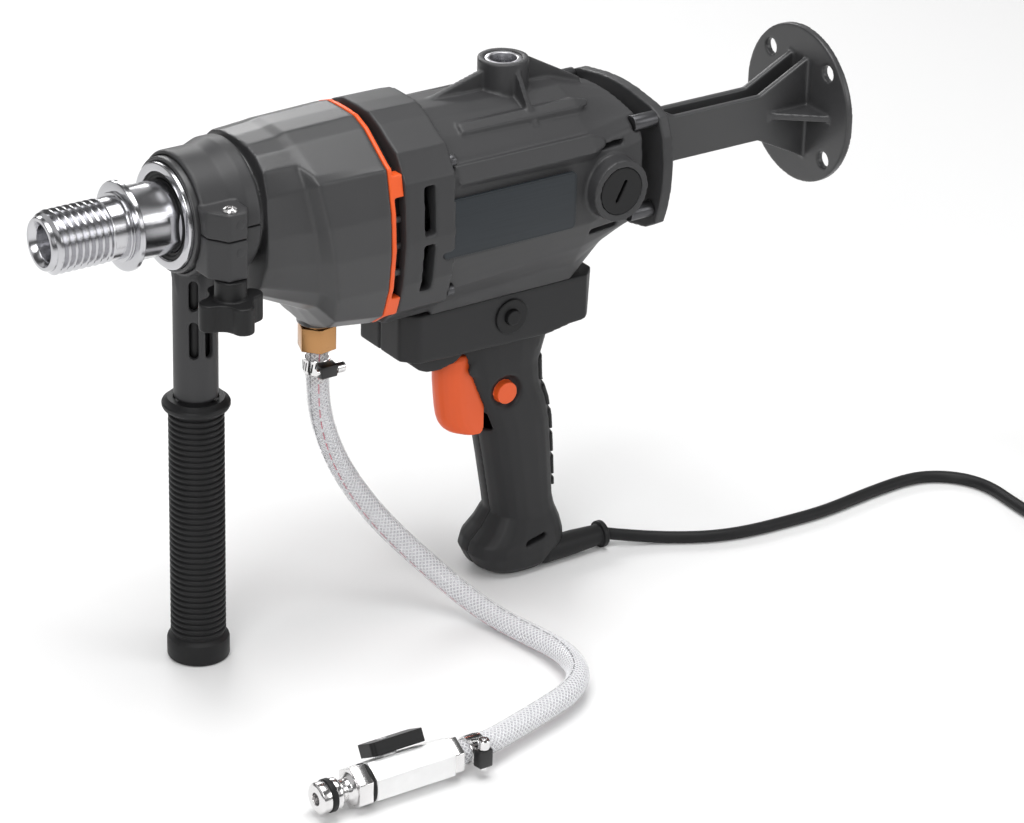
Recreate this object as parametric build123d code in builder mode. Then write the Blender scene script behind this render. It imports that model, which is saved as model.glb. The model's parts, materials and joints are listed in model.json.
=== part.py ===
"""Hand-held diamond core drill with side handle, water feed and rig spade.

Row frame: +X runs from the spindle tip to the rear disc, +Y to the far side, +Z up.
The origin is on the floor, midway along the drill, in its plane of symmetry.
"""
from build123d import *
import math
import os

os.makedirs("parts", exist_ok=True)

# ---------------------------------------------------------------- driving dimensions
half_length = 230.5          # spindle tip to rear disc face, halved
spindle_z = 246.0            # spindle axis above the floor
motor_z = spindle_z - 19.6   # motor axis, also the axis of the rear disc
handle_x = -145.5            # side handle axis

thread_radius = 15.875       # 1-1/4 inch UNC, seven turns to the inch
thread_pitch = 25.4 / 7
thread_depth = 0.61 * thread_pitch
shaft_radius = 18.5
flange_radius = 22.4
water_bore_radius = 9.0
bearing_seat_radius = 15.0

neck_radius = 29.0
housing_front_x = -123.5
ring_x = -61.5
ring_thickness = 2.5
motor_front_x = -53.5
motor_rear_x = 94.5
disc_thickness = 4.0
disc_radius = 43.3
disc_hole_offset = 24.4
disc_hole_radius = 4.5

hose_radius = 6.25
cable_radius = 3.25
boss_x = 35.0
boss_top_z = spindle_z + 44.0
brush_x = 74.0
running_gap = 0.05


# ---------------------------------------------------------------- helpers
def across(x):
    """Plane across the drill at station x, with local axes Y and Z."""
    return Plane(origin=(x, 0, 0), x_dir=(0, 1, 0), z_dir=(1, 0, 0))


def lengthwise(y, z):
    """Plane whose X axis is a line along the drill, with heights as local Y."""
    return Plane(origin=(0, y, z), x_dir=(1, 0, 0), z_dir=(0, -1, 0))


def mirrored(half):
    """Close a half outline, listed from its top middle to its bottom middle."""
    return half + [(-y, z) for y, z in reversed(half[1:-1])]


def section(plane, half, grow=1.0, middle=motor_z):
    """Face of a mirrored outline in a plane, scaled about a middle height."""
    points = [(y * grow, middle + (z - middle) * grow) for y, z in mirrored(half)]
    with BuildSketch(plane) as face:
        with BuildLine():
            Polyline(*points, close=True)
        make_face()
    return face.sketch


def at_spindle(points):
    """Heights given from the spindle axis become heights above the floor."""
    return [(y, spindle_z + z) for y, z in points]


def turned(outline, plane, mode=Mode.ADD):
    """Revolve a closed outline of (along, radius) pairs about the plane's X axis."""
    with BuildSketch(plane) as profile:
        with BuildLine():
            Polyline(*outline, close=True)
        make_face()
    revolve(profile.sketch, axis=Axis(plane.origin, plane.x_dir), mode=mode)


def rod(start, end, radius, mode=Mode.ADD):
    """Round bar along X, Y or Z between two points."""
    line = Vector(*end) - Vector(*start)
    with BuildSketch(Plane(origin=start, z_dir=line)) as profile:
        Circle(radius)
    extrude(profile.sketch, amount=line.length, mode=mode)


def tube(start, end, outer, inner):
    """Round tube between two points."""
    rod(start, end, outer)
    rod(start, end, inner, Mode.SUBTRACT)


def tooth_outline(teeth, module, addendum, dedendum, first_tooth):
    """Points of a spur gear with involute flanks and a little backlash."""
    pressure = math.radians(20)
    pitch_radius = teeth * module / 2
    base_radius = pitch_radius * math.cos(pressure)
    root_radius = pitch_radius - dedendum * module
    tip_radius = pitch_radius + addendum * module
    half_tooth = math.pi / (2 * teeth) - 0.09 * module / pitch_radius
    involute = math.tan(pressure) - pressure
    flank = []
    for step in range(4):
        radius = max(root_radius, base_radius) + (tip_radius - max(root_radius, base_radius)) * step / 3
        roll = math.acos(min(1.0, base_radius / radius))
        flank.append((radius, half_tooth + involute - (math.tan(roll) - roll)))
    if root_radius < base_radius:
        flank.insert(0, (root_radius, flank[0][1]))
    points = []
    for number in range(teeth):
        middle = math.radians(first_tooth) + number * 2 * math.pi / teeth
        for radius, angle in flank:
            points.append((radius * math.cos(middle - angle), radius * math.sin(middle - angle)))
        for radius, angle in reversed(flank):
            points.append((radius * math.cos(middle + angle), radius * math.sin(middle + angle)))
    return points


def gear(x_from, x_to, centre, teeth, module, addendum, dedendum, first_tooth, bore):
    """Spur gear across the drill, its bore round unless bore is zero."""
    points = tooth_outline(teeth, module, addendum, dedendum, first_tooth)
    with BuildSketch(Plane(origin=(x_from, *centre), x_dir=(0, 1, 0), z_dir=(1, 0, 0))) as profile:
        with BuildLine():
            Polyline(*points, close=True)
        make_face()
        if bore:
            Circle(bore, mode=Mode.SUBTRACT)
    extrude(profile.sketch, amount=x_to - x_from)


def ball_bearing(x_from, width, centre, bore, outer):
    """Inner race, outer race and a row of balls, as separate solids."""
    y, z = centre
    race = (outer - bore) * 0.28
    start = (x_from, y, z)
    end = (x_from + width, y, z)
    tube(start, end, outer, outer - race)
    tube(start, end, bore + race, bore)
    pitch = (outer + bore) / 2
    ball = (outer - bore) / 2 - race - 0.02
    with Locations(Plane(origin=(x_from + width / 2, y, z), x_dir=(0, 1, 0), z_dir=(1, 0, 0))):
        with PolarLocations(pitch, 9):
            Sphere(ball)


# ---------------------------------------------------------------- gear train
gear_module_fast = 1.0
gear_module_slow = 1.5
armature_teeth = 9
counter_gear_teeth = 39
counter_pinion_teeth = 11
spindle_teeth = 40
fast_distance = gear_module_fast * (armature_teeth + counter_gear_teeth) / 2
slow_distance = gear_module_slow * (counter_pinion_teeth + spindle_teeth) / 2
axis_drop = spindle_z - motor_z
counter_drop = (slow_distance**2 - fast_distance**2 + axis_drop**2) / (2 * axis_drop)
counter_y = math.sqrt(slow_distance**2 - counter_drop**2)
counter_z = spindle_z - counter_drop
spindle_to_counter = math.degrees(math.atan2(counter_z - spindle_z, counter_y))
motor_to_counter = math.degrees(math.atan2(counter_z - motor_z, counter_y))

spindle_centre = (0.0, spindle_z)
motor_centre = (0.0, motor_z)
counter_centre = (counter_y, counter_z)

tip_x = -half_length
thread_end_x = tip_x + 33
flange_x = -188.0
with BuildPart() as spindle:
    crest = 0.45             # flat widths at the thread's crest and root
    root = 0.9
    outline = [(tip_x, water_bore_radius), (tip_x, thread_radius - 2.2), (tip_x + 1.6, thread_radius)]
    turn_x = tip_x + 2.2
    while turn_x + thread_pitch < thread_end_x:
        flank = (thread_pitch - crest - root) / 2
        outline += [
            (turn_x, thread_radius),
            (turn_x + flank, thread_radius - thread_depth),
            (turn_x + flank + root, thread_radius - thread_depth),
            (turn_x + 2 * flank + root, thread_radius),
        ]
        turn_x += thread_pitch
    outline += [
        (thread_end_x, thread_radius),
        (thread_end_x + 1.5, 13.2),
        (flange_x, 13.2),
        (flange_x, flange_radius - 1),
        (flange_x + 1, flange_radius),
        (flange_x + 2.3, flange_radius),
        (flange_x + 3.3, flange_radius - 1),
        (flange_x + 3.3, shaft_radius),
        (-157.0, shaft_radius),
        (-157.0, bearing_seat_radius),
        (-89.0, bearing_seat_radius),
        (-89.0, 14.0),
        (-69.5, 14.0),
        (-69.5, 5.0),
        (-110.0, 5.0),
        (-114.0, water_bore_radius),
    ]
    turned(outline, lengthwise(*spindle_centre))
    with BuildSketch(Plane(origin=(-176.5, 0, spindle_z), x_dir=(1, 0, 0), z_dir=(0, -1, 0)).offset(16.2)):
        Rectangle(13, 30)
    extrude(amount=10, mode=Mode.SUBTRACT)
    with BuildSketch(Plane(origin=(-176.5, 0, spindle_z), x_dir=(1, 0, 0), z_dir=(0, 1, 0)).offset(16.2)):
        Rectangle(13, 30)
    extrude(amount=10, mode=Mode.SUBTRACT)
spindle.part.label = "spindle"
export_step(spindle.part, "parts/spindle.step")

with BuildPart() as spindle_gear:
    half_step = 180 / spindle_teeth
    gear(
        -85, -71, spindle_centre, spindle_teeth, gear_module_slow, 0.55, 1.1,
        spindle_to_counter + half_step, 14.0,
    )
spindle_gear.part.label = "spindle_gear"
export_step(spindle_gear.part, "parts/spindle_gear.step")

with BuildPart() as spindle_circlip:
    tube((-71, *spindle_centre), (-69.8, *spindle_centre), 17.0, 14.0)
spindle_circlip.part.label = "spindle_circlip"
export_step(spindle_circlip.part, "parts/spindle_circlip.step")

with BuildPart() as countershaft:
    turned(
        [
            (-97.0, 0), (-97.0, 6), (-89.0, 6), (-89.0, 7), (-87.5, 7), (-87.5, 5.5), (-70.0, 5.5),
            (-69.5, 7.5), (-68.5, 7.5), (-68.5, 6.5), (-62.0, 6.5), (-62.0, 5), (-54.5, 5), (-54.5, 0),
        ],
        lengthwise(*counter_centre),
    )
    gear(-87.5, -69.5, counter_centre, counter_pinion_teeth, gear_module_slow, 0.9, 0.8,
         spindle_to_counter + 180, 0)
countershaft.part.label = "countershaft"
export_step(countershaft.part, "parts/countershaft.step")

with BuildPart() as countershaft_gear:
    half_step = 180 / counter_gear_teeth
    gear(-68.5, -62.6, counter_centre, counter_gear_teeth, gear_module_fast, 0.55, 1.1,
         motor_to_counter + 180 + half_step, 6.5)
countershaft_gear.part.label = "countershaft_gear"
export_step(countershaft_gear.part, "parts/countershaft_gear.step")

with BuildPart() as motor_pinion:
    gear(-69.0, -62.0, motor_centre, armature_teeth, gear_module_fast, 0.9, 0.8, motor_to_counter, 2.5)
motor_pinion.part.label = "motor_pinion"
export_step(motor_pinion.part, "parts/motor_pinion.step")

# ---------------------------------------------------------------- bearings and seals
with BuildPart() as spindle_bearings:
    for bearing_x in (-156.0, -99.0):
        ball_bearing(bearing_x, 9.0, spindle_centre, bearing_seat_radius + running_gap, 23.5)
spindle_bearings.part.label = "spindle_bearings"
export_step(spindle_bearings.part, "parts/spindle_bearings.step")

with BuildPart() as countershaft_bearings:
    ball_bearing(-96.5, 7.0, counter_centre, 6.0 + running_gap, 11.0)
    ball_bearing(-61.5, 7.0, counter_centre, 5.0 + running_gap, 11.0)
countershaft_bearings.part.label = "countershaft_bearings"
export_step(countershaft_bearings.part, "parts/countershaft_bearings.step")

with BuildPart() as shaft_seal:
    turned(
        [
            (-162.6, 22.0), (-162.6, 20.4), (-161.8, 19.9), (-161.8, shaft_radius + 0.1),
            (-161.2, shaft_radius + 0.1), (-160.8, 19.6), (-157.5, 19.6), (-157.5, 22.0),
        ],
        lengthwise(*spindle_centre),
    )
shaft_seal.part.label = "shaft_seal"
export_step(shaft_seal.part, "parts/shaft_seal.step")

with BuildPart() as bearing_retainer:
    turned(
        [
            (-163.8, 22.6), (-163.8, 26.2), (-163.2, 26.8), (-156.2, 26.8), (-156.2, 22.0),
            (-163.2, 22.0),
        ],
        lengthwise(*spindle_centre),
    )
bearing_retainer.part.label = "bearing_retainer"
export_step(bearing_retainer.part, "parts/bearing_retainer.step")

# ---------------------------------------------------------------- gear housing
front_half = at_spindle([
    (0, 33.4), (12, 32.6), (21, 29.7), (28, 23.9), (31.5, 11.5), (32.5, -10),
    (31.5, -25), (26.5, -37), (18, -43.5), (9, -47), (4.5, -48), (0, -48.5),
])
ramp_front_half = at_spindle([
    (0, 34.9), (12.5, 34.1), (21.8, 30.8), (29, 24.6), (34.5, 14), (39, -8.5),
    (39.5, -25), (37, -42.5), (31.5, -52.5), (21, -58.5), (10.5, -61.5), (0, -62),
])
ramp_rear_half = at_spindle([
    (0, 36), (12, 35.4), (21.4, 31.6), (37, 20.8), (40.6, 16.8), (45.6, -6),
    (46.8, -24), (44.4, -45), (38.8, -59.5), (28.5, -67), (14, -72), (0, -73.5),
])
ring_half = at_spindle([
    (0, 36.4), (12, 36), (21.6, 32.2), (39.5, 19.3), (42.7, 17.6), (47.5, -5),
    (48.6, -24), (46.2, -45), (40.5, -61.5), (30, -69), (15, -74), (0, -75.5),
])


def leaning(x_at_axis, lean):
    """Plane across the drill whose foot leans rearwards by lean degrees."""
    angle = math.radians(lean)
    middle = Vector(x_at_axis, 0, spindle_z)
    up = Vector(-math.sin(angle), 0, math.cos(angle))
    return Plane(origin=middle - up * spindle_z, x_dir=(0, 1, 0), z_dir=(math.cos(angle), 0, math.sin(angle)))


inlet_x = -75.0
with BuildPart() as gear_housing:
    loft([
        section(across(housing_front_x), front_half),
        section(leaning(-102.0, 8.0), ramp_front_half),
        section(leaning(-96.8, 8.0), ramp_rear_half),
        section(across(ring_x), ring_half),
    ], ruled=True)
    rod((-161.5, *spindle_centre), (housing_front_x, *spindle_centre), neck_radius)
    # gear chamber, open to the rear
    chamber_front = section(across(-88.5), ramp_rear_half, 0.89)
    chamber_rear = section(across(ring_x), ring_half, 0.915)
    loft([chamber_front, chamber_rear], ruled=True, mode=Mode.SUBTRACT)
    rod((-88.5, *spindle_centre), (ring_x, *spindle_centre), 31.4, Mode.SUBTRACT)
    # spindle passage, front bearing and seal seats
    rod((-161.5, *spindle_centre), (-88.5, *spindle_centre), 19.0, Mode.SUBTRACT)
    rod((-163, *spindle_centre), (-147.0, *spindle_centre), 23.5, Mode.SUBTRACT)
    rod((-163, *spindle_centre), (-156.2, *spindle_centre), 26.8, Mode.SUBTRACT)
    rod((-99.0, *spindle_centre), (-88.0, *spindle_centre), 23.5, Mode.SUBTRACT)
    # countershaft front bearing seat
    rod((-97.5, *counter_centre), (-88.0, *counter_centre), 11.0, Mode.SUBTRACT)
    # water inlet boss, tapped from below
    rod((inlet_x, 0, 169.5), (inlet_x, 0, 178.5), 10.5)
    rod((inlet_x, 0, 169), (inlet_x, 0, 180), 5.0, Mode.SUBTRACT)
gear_housing.part.label = "gear_housing"
export_step(gear_housing.part, "parts/gear_housing.step")

with BuildPart() as spacer_ring:
    extrude(section(across(ring_x), ring_half), amount=ring_thickness)
    for side in (-1, 1):
        with BuildSketch(across(ring_x)):
            with Locations((side * 43.0, spindle_z + 8.5), (side * 42.0, spindle_z - 57)):
                Rectangle(15, 11)
        extrude(amount=motor_front_x - ring_x)
    extrude(section(across(ring_x), ring_half), amount=motor_front_x - ring_x, mode=Mode.INTERSECT)
    extrude(section(across(ring_x), ring_half, 0.885), amount=motor_front_x - ring_x, mode=Mode.SUBTRACT)
spacer_ring.part.label = "spacer_ring"
export_step(spacer_ring.part, "parts/spacer_ring.step")

with BuildPart() as bearing_plate:
    extrude(section(across(ring_x), ring_half, 0.88), amount=motor_front_x - ring_x)
    rod((ring_x, *motor_centre), (motor_front_x, *motor_centre), 12.0, Mode.SUBTRACT)
    rod((ring_x, *counter_centre), (motor_front_x, *counter_centre), 11.0, Mode.SUBTRACT)
bearing_plate.part.label = "bearing_plate"
export_step(bearing_plate.part, "parts/bearing_plate.step")

# ---------------------------------------------------------------- motor housing
collar_half = at_spindle([
    (0, 36.2), (12, 35.8), (21.4, 32), (29, 27.3), (38, 22.6), (46.6, 9),
    (48.4, -22), (46, -45), (40.5, -61.5), (30, -69), (26.5, -73), (0, -75),
])
body_half = at_spindle([
    (0, 30.5), (10, 30), (18.5, 26.8), (27, 20.5), (36, 12.5), (43.5, 5),
    (46.6, -20), (45.5, -38), (38.5, -57), (30, -68), (26.5, -75), (0, -75),
])
body_rear_half = at_spindle([
    (0, 28), (11, 27), (21, 22.5), (29, 16.5), (37, 9.5), (42.5, 2.5),
    (44.5, -20), (43.5, -37), (36, -53), (29, -65), (26.3, -75), (0, -75),
])
tail_half = at_spindle([
    (0, 17), (10, 16.5), (20, 15), (31, 12.5), (37, 8.5), (40.5, 0),
    (41.5, -20), (40, -36), (35, -45), (28, -50), (18, -53.5), (0, -55),
])
collar_screw_places = [(side * 39.0, spindle_z + height) for side in (-1, 1) for height in (13.0, -56.5)]
standoff_places = [(side * 36.0, spindle_z + height) for side in (-1, 1) for height in (8.5, -41.0)]
plate_plane = Plane(origin=(9.5, -45.2, spindle_z - 20.5), x_dir=(1, 0, 0), z_dir=(0, -1, 0))
plate_x = 104.5
body_front_x = -24.0
body_rear_x = 62.0
box_rear_x = 81.5
with BuildPart() as motor_housing:
    loft([
        section(across(motor_front_x), collar_half),
        section(across(body_front_x), collar_half, 0.995),
    ], ruled=True)
    loft([
        section(across(body_front_x), body_half),
        section(across(body_rear_x), body_rear_half),
        section(across(motor_rear_x), tail_half),
    ], ruled=True)
    # top boss with its ribs
    rod((boss_x, 0, spindle_z + 20), (boss_x, 0, boss_top_z), 13.1)
    with BuildSketch(Plane.XZ):
        with BuildLine():
            Polyline(
                (-17, spindle_z + 28), (boss_x, boss_top_z - 1), (boss_x + 13, boss_top_z - 1.5),
                (82, spindle_z + 24), (82, spindle_z + 15), (-17, spindle_z + 15), close=True,
            )
        make_face()
    extrude(amount=1.8, both=True)
    with BuildSketch(across(boss_x)):
        with BuildLine():
            Polyline(
                (-30, spindle_z + 17), (-13, boss_top_z - 3), (13, boss_top_z - 3),
                (30, spindle_z + 17), close=True,
            )
        make_face()
    extrude(amount=1.4, both=True)
    # brush bosses
    rod((brush_x, -52, motor_z), (brush_x, 52, motor_z), 16.5)
    # motor cavity, brush bores, bearing pocket and shaft clearance
    rod((motor_front_x, *motor_centre), (60, *motor_centre), 41.0, Mode.SUBTRACT)
    rod((60, *motor_centre), (86, *motor_centre), 31.0, Mode.SUBTRACT)
    rod((86, *motor_centre), (93.0, *motor_centre), 11.0, Mode.SUBTRACT)
    rod((brush_x, -53, motor_z), (brush_x, 53, motor_z), 12.6, Mode.SUBTRACT)
    # threaded seat in the top boss
    rod((boss_x, 0, boss_top_z - 22), (boss_x, 0, boss_top_z + 1), 9.5, Mode.SUBTRACT)
    # air slots beside the fan, and beside the commutator
    for side in (-1, 1):
        for slot_z in (spindle_z - 7.5, spindle_z - 38.5):
            with BuildSketch(Plane(origin=(-39, side * 50, slot_z), x_dir=(1, 0, 0), z_dir=(0, side, 0))):
                Rectangle(6.5, 26)
            extrude(amount=-16, mode=Mode.SUBTRACT)
        for slot_z in (spindle_z + 2.0, spindle_z - 44.0):
            with BuildSketch(Plane(origin=(73, side * 50, slot_z), x_dir=(1, 0, 0), z_dir=(0, side, 0))):
                Rectangle(19, 3)
            extrude(amount=-16, mode=Mode.SUBTRACT)
    # seats of the screws, the stand-off bolts and the plate
    for place in collar_screw_places:
        rod((-24.0, *place), (-20.0, *place), 3.2, Mode.SUBTRACT)
    for place in standoff_places:
        rod((90.0, *place), (plate_x, *place), 4.2, Mode.SUBTRACT)
    with BuildSketch(plate_plane):
        RectangleRounded(80, 31, 3)
    extrude(amount=1.8, mode=Mode.SUBTRACT)
motor_housing.part.label = "motor_housing"
export_step(motor_housing.part, "parts/motor_housing.step")

with BuildPart() as top_insert:
    tube((boss_x, 0, boss_top_z - 22), (boss_x, 0, boss_top_z - 0.6), 9.5, 7.0)
top_insert.part.label = "top_insert"
export_step(top_insert.part, "parts/top_insert.step")

with BuildPart() as housing_screws:
    for place in collar_screw_places:
        rod((-24.0, *place), (-20.0, *place), 3.2)
housing_screws.part.label = "housing_screws"
export_step(housing_screws.part, "parts/housing_screws.step")

with BuildPart() as name_plate:
    with BuildSketch(plate_plane):
        RectangleRounded(80, 31, 3)
    extrude(amount=1.8)
name_plate.part.label = "name_plate"
export_step(name_plate.part, "parts/name_plate.step")

# ---------------------------------------------------------------- motor internals
with BuildPart() as stator:
    tube((-14, *motor_centre), (46, *motor_centre), 40.9, 23.0)
    for side in (-1, 1):
        with BuildSketch(across(-20)):
            with Locations((0, motor_z + side * 29)):
                RectangleRounded(34, 9, 4)
        extrude(amount=6)
        with BuildSketch(across(46)):
            with Locations((0, motor_z + side * 29)):
                RectangleRounded(34, 9, 4)
        extrude(amount=6)
stator.part.label = "stator"
export_step(stator.part, "parts/stator.step")

with BuildPart() as armature_shaft:
    turned(
        [
            (-69.5, 0), (-69.5, 2.5), (-61.9, 2.5), (-61.9, 5), (-53.0, 5), (-53.0, 6), (86.0, 6),
            (86.0, 4), (92.5, 4), (92.5, 0),
        ],
        lengthwise(*motor_centre),
    )
armature_shaft.part.label = "armature_shaft"
export_step(armature_shaft.part, "parts/armature_shaft.step")

with BuildPart() as armature_core:
    tube((-13, *motor_centre), (45, *motor_centre), 22.2, 6)
    tube((-20, *motor_centre), (-13, *motor_centre), 18.5, 6)
    tube((45, *motor_centre), (54, *motor_centre), 18.5, 6)
armature_core.part.label = "armature_core"
export_step(armature_core.part, "parts/armature_core.step")

with BuildPart() as commutator:
    tube((60, *motor_centre), (84, *motor_centre), 14.0, 6)
commutator.part.label = "commutator"
export_step(commutator.part, "parts/commutator.step")

with BuildPart() as fan:
    tube((-50, *motor_centre), (-47, *motor_centre), 37, 6)
    tube((-47, *motor_centre), (-34, *motor_centre), 11, 6)
    with BuildSketch(across(-47)):
        with Locations((0, motor_z)):
            with PolarLocations(24, 15):
                Rectangle(26, 1.8)
    extrude(amount=12)
fan.part.label = "fan"
export_step(fan.part, "parts/fan.step")

with BuildPart() as motor_bearings:
    ball_bearing(-61.0, 7.5, motor_centre, 5.0 + running_gap, 12.0)
    ball_bearing(86.0, 7.0, motor_centre, 4.0 + running_gap, 11.0)
motor_bearings.part.label = "motor_bearings"
export_step(motor_bearings.part, "parts/motor_bearings.step")

with BuildPart() as brush_holders:
    for side in (-1, 1):
        with BuildSketch(Plane(origin=(brush_x, side * 20, motor_z), x_dir=(1, 0, 0), z_dir=(0, side, 0))):
            Circle(12.5)
            Rectangle(10.2, 7.2, mode=Mode.SUBTRACT)
        extrude(amount=26)
brush_holders.part.label = "brush_holders"
export_step(brush_holders.part, "parts/brush_holders.step")

with BuildPart() as carbon_brushes:
    for side in (-1, 1):
        with BuildSketch(Plane(origin=(brush_x, side * 14.3, motor_z), x_dir=(1, 0, 0), z_dir=(0, side, 0))):
            Rectangle(10, 7)
        extrude(amount=20)
carbon_brushes.part.label = "carbon_brushes"
export_step(carbon_brushes.part, "parts/carbon_brushes.step")

with BuildPart() as brush_caps:
    for side in (-1, 1):
        with BuildSketch(Plane(origin=(brush_x, side * 46.0, motor_z), x_dir=(1, 0, 0), z_dir=(0, side, 0))):
            Circle(12.5)
        extrude(amount=5.9)
        with BuildSketch(Plane(origin=(brush_x, side * 51.9, motor_z), x_dir=(1, 0, 0), z_dir=(0, side, 0))):
            SlotOverall(13, 1.8, rotation=62)
        extrude(amount=-2.5, mode=Mode.SUBTRACT)
brush_caps.part.label = "brush_caps"
export_step(brush_caps.part, "parts/brush_caps.step")

# ---------------------------------------------------------------- rear plate and rig spade
plate_half = at_spindle([
    (0, 17.5), (12, 17), (32, 13.8), (40, 10), (44, 0), (46, -14),
    (45.5, -28), (43, -40), (40, -48.5), (31.5, -53.5), (18, -56), (0, -57),
])
with BuildPart() as rear_plate:
    extrude(section(across(plate_x), plate_half), amount=6.5)
    rod((plate_x, *motor_centre), (plate_x + 2.5, *motor_centre), 26, Mode.SUBTRACT)
rear_plate.part.label = "rear_plate"
export_step(rear_plate.part, "parts/rear_plate.step")

with BuildPart() as standoff_bolts:
    for place in standoff_places:
        rod((90.0, *place), (plate_x, *place), 4.2)
standoff_bolts.part.label = "standoff_bolts"
export_step(standoff_bolts.part, "parts/standoff_bolts.step")

spade_x = plate_x + 6.5
disc_x = half_length - disc_thickness
with BuildPart() as rig_spade:
    for side in (-1, 1):
        with BuildSketch(Plane.XZ.offset(side * 6.5)):
            with BuildLine():
                Polyline(
                    (spade_x, motor_z + 28), (139.5, motor_z + 12.7), (195.5, motor_z + 12.7),
                    (disc_x, motor_z + 28.2), (disc_x, motor_z - 28.2), (195.5, motor_z - 12.7),
                    (139.5, motor_z - 12.7), (spade_x, motor_z - 28), close=True,
                )
            make_face()
        extrude(amount=1.9, both=True)
    with BuildSketch(Plane.XY.offset(motor_z - 1.8)):
        with BuildLine():
            Polyline((197, -5), (disc_x, -29), (disc_x, 29), (197, 5), close=True)
        make_face()
    extrude(amount=3.6)
    rod((disc_x, *motor_centre), (half_length, *motor_centre), disc_radius)
    with BuildSketch(across(disc_x)):
        with Locations((0, motor_z)):
            with GridLocations(2 * disc_hole_offset, 2 * disc_hole_offset, 2, 2):
                Circle(disc_hole_radius)
    extrude(amount=disc_thickness, mode=Mode.SUBTRACT)
rig_spade.part.label = "rig_spade"
export_step(rig_spade.part, "parts/rig_spade.step")

# ---------------------------------------------------------------- switch box and grip shells
box_top_z = spindle_z - 75
box_side = [
    (-37.5, box_top_z), (-37.5, 144.5), (48.5, 142.4), (63.5, 145.0), (76.5, 146.0), (81.5, box_top_z),
]
box_plan = [(-37.5, 18), (-30, 26), (73, 26), (82, 17)]
nose_side = [(-28, 146), (-26, 138), (-21, 133.5), (-16, 131.3), (-8, 131), (1, 133), (10, 140), (20, 146)]
# grip sections: height, front x, rear x, half width
grip_sections = [
    (150, -2, 67, 17), (134, 3.5, 62.5, 17), (122, 7.5, 58.4, 17), (110, 13, 58.8, 17), (98, 18.2, 63.1, 17),
    (86, 23.5, 65.5, 17), (62, 28, 67.3, 16.8), (40, 32, 68.5, 16.8), (31, 33.5, 70.5, 17.5),
]
foot_sections = [
    (33, 32.5, 70, 17), (26, 28, 73, 19), (19, 20.5, 75, 20.5), (13, 18.8, 75.5, 21), (5, 23, 73, 19.5),
    (0, 31, 66, 14),
]
hollow_sections = [
    (146, 3, 59, 13.5), (134, 7.5, 57.5, 13.5), (122, 11.5, 54.6, 13.5), (98, 22.4, 58.8, 13.5),
    (62, 32.2, 63, 13.2), (24, 37, 66, 13.2),
]
slot_side = [(-5.5, 134.8), (30, 134.8), (30, 88), (18, 84), (-5.5, 84)]
pivot_x = 14.5                # trigger pivot
pivot_z = 126.0
lock_button_place = (30.9, 110.0)
reset_button_place = (25.8, 158.5)
cord_exit_y = -12.1
cord_exit_z = 7.5
shell_screw_places = [(-20, 152), (48, 134), (48, 62), (46, 14)]
pad_places = [(115.7, 14.2), (99.2, 13.0), (84.3, 11.8), (70.3, 11.4), (56.7, 11.2), (46.8, 4.2)]


def side_prism(points, half_width, inset=0.0, mode=Mode.ADD):
    """Extrude a side outline across the drill."""
    with BuildSketch(Plane.XZ) as profile:
        with BuildLine():
            Polyline(*points, close=True)
        make_face()
        if inset:
            offset(amount=-inset, kind=Kind.INTERSECTION)
    extrude(profile.sketch, amount=half_width, both=True, mode=mode)


def column(sections, squareness, grow=0.0, mode=Mode.ADD):
    """Loft an upright column through rounded sections of (height, front, rear, half width)."""
    corners = 20
    faces = []
    for height, front, rear, half_width in sections:
        middle = (front + rear) / 2
        points = []
        for corner in range(corners):
            angle = 2 * math.pi * (corner + 0.5) / corners
            cosine = math.cos(angle)
            sine = math.sin(angle)
            reach = abs(cosine) ** (2 / squareness) * ((rear - front) / 2 + grow)
            width = abs(sine) ** (2 / squareness) * (half_width + grow)
            points.append((middle + math.copysign(reach, cosine), math.copysign(width, sine)))
        with BuildSketch(Plane.XY.offset(height)) as level:
            with BuildLine():
                Polyline(*points, close=True)
            make_face()
        faces.append(level.sketch)
    loft(sections=faces, ruled=True, mode=mode)


with BuildPart() as grip_body:
    side_prism(box_side, 26)
    with BuildSketch(Plane.XY.offset(140)) as plan:
        with BuildLine():
            Polyline(*box_plan, *[(x, -y) for x, y in reversed(box_plan)], close=True)
        make_face()
    extrude(plan.sketch, amount=40, mode=Mode.INTERSECT)
    side_prism(nose_side, 13)
    column(grip_sections, 2.6)
    column(foot_sections, 2.8)
    column(hollow_sections, 2.6, mode=Mode.SUBTRACT)
    side_prism(box_side, 19, inset=3.2, mode=Mode.SUBTRACT)
    side_prism(slot_side, 11.2, mode=Mode.SUBTRACT)
    # trigger pivot sockets and screw posts
    for side in (-1, 1):
        rod((pivot_x, side * 11.2, pivot_z), (pivot_x, side * 14, pivot_z), 5)
    for x, z in shell_screw_places:
        post_y = 24 if z > 140 else 15
        rod((x, -post_y, z), (x, post_y, z), 4.5)
    rod((pivot_x, -12.8, pivot_z), (pivot_x, 12.8, pivot_z), 2.55, Mode.SUBTRACT)
    # button seats in the near side, cord channel in the foot
    x, z = lock_button_place
    rod((x, -20, z), (x, -15.6, z), 9.5, Mode.SUBTRACT)
    rod((x, -20, z), (x, -12, z), 6.05, Mode.SUBTRACT)
    rod((x, -13.4, z), (x, -9, z), 7.6, Mode.SUBTRACT)
    x, z = reset_button_place
    rod((x, -27, z), (x, -18, z), 8.0, Mode.SUBTRACT)
    rod((56, cord_exit_y, cord_exit_z), (86, cord_exit_y, cord_exit_z), 7.0, Mode.SUBTRACT)

with BuildPart() as grip_core:
    column(hollow_sections, 2.6, grow=1.0)

with BuildPart() as screw_bores:
    for x, z in shell_screw_places:
        face_y = 26 if z > 140 else 17
        rod((x, -8, z), (x, face_y, z), 1.6)
        rod((x, 14.5, z), (x, face_y + 5, z), 3.2)

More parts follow.
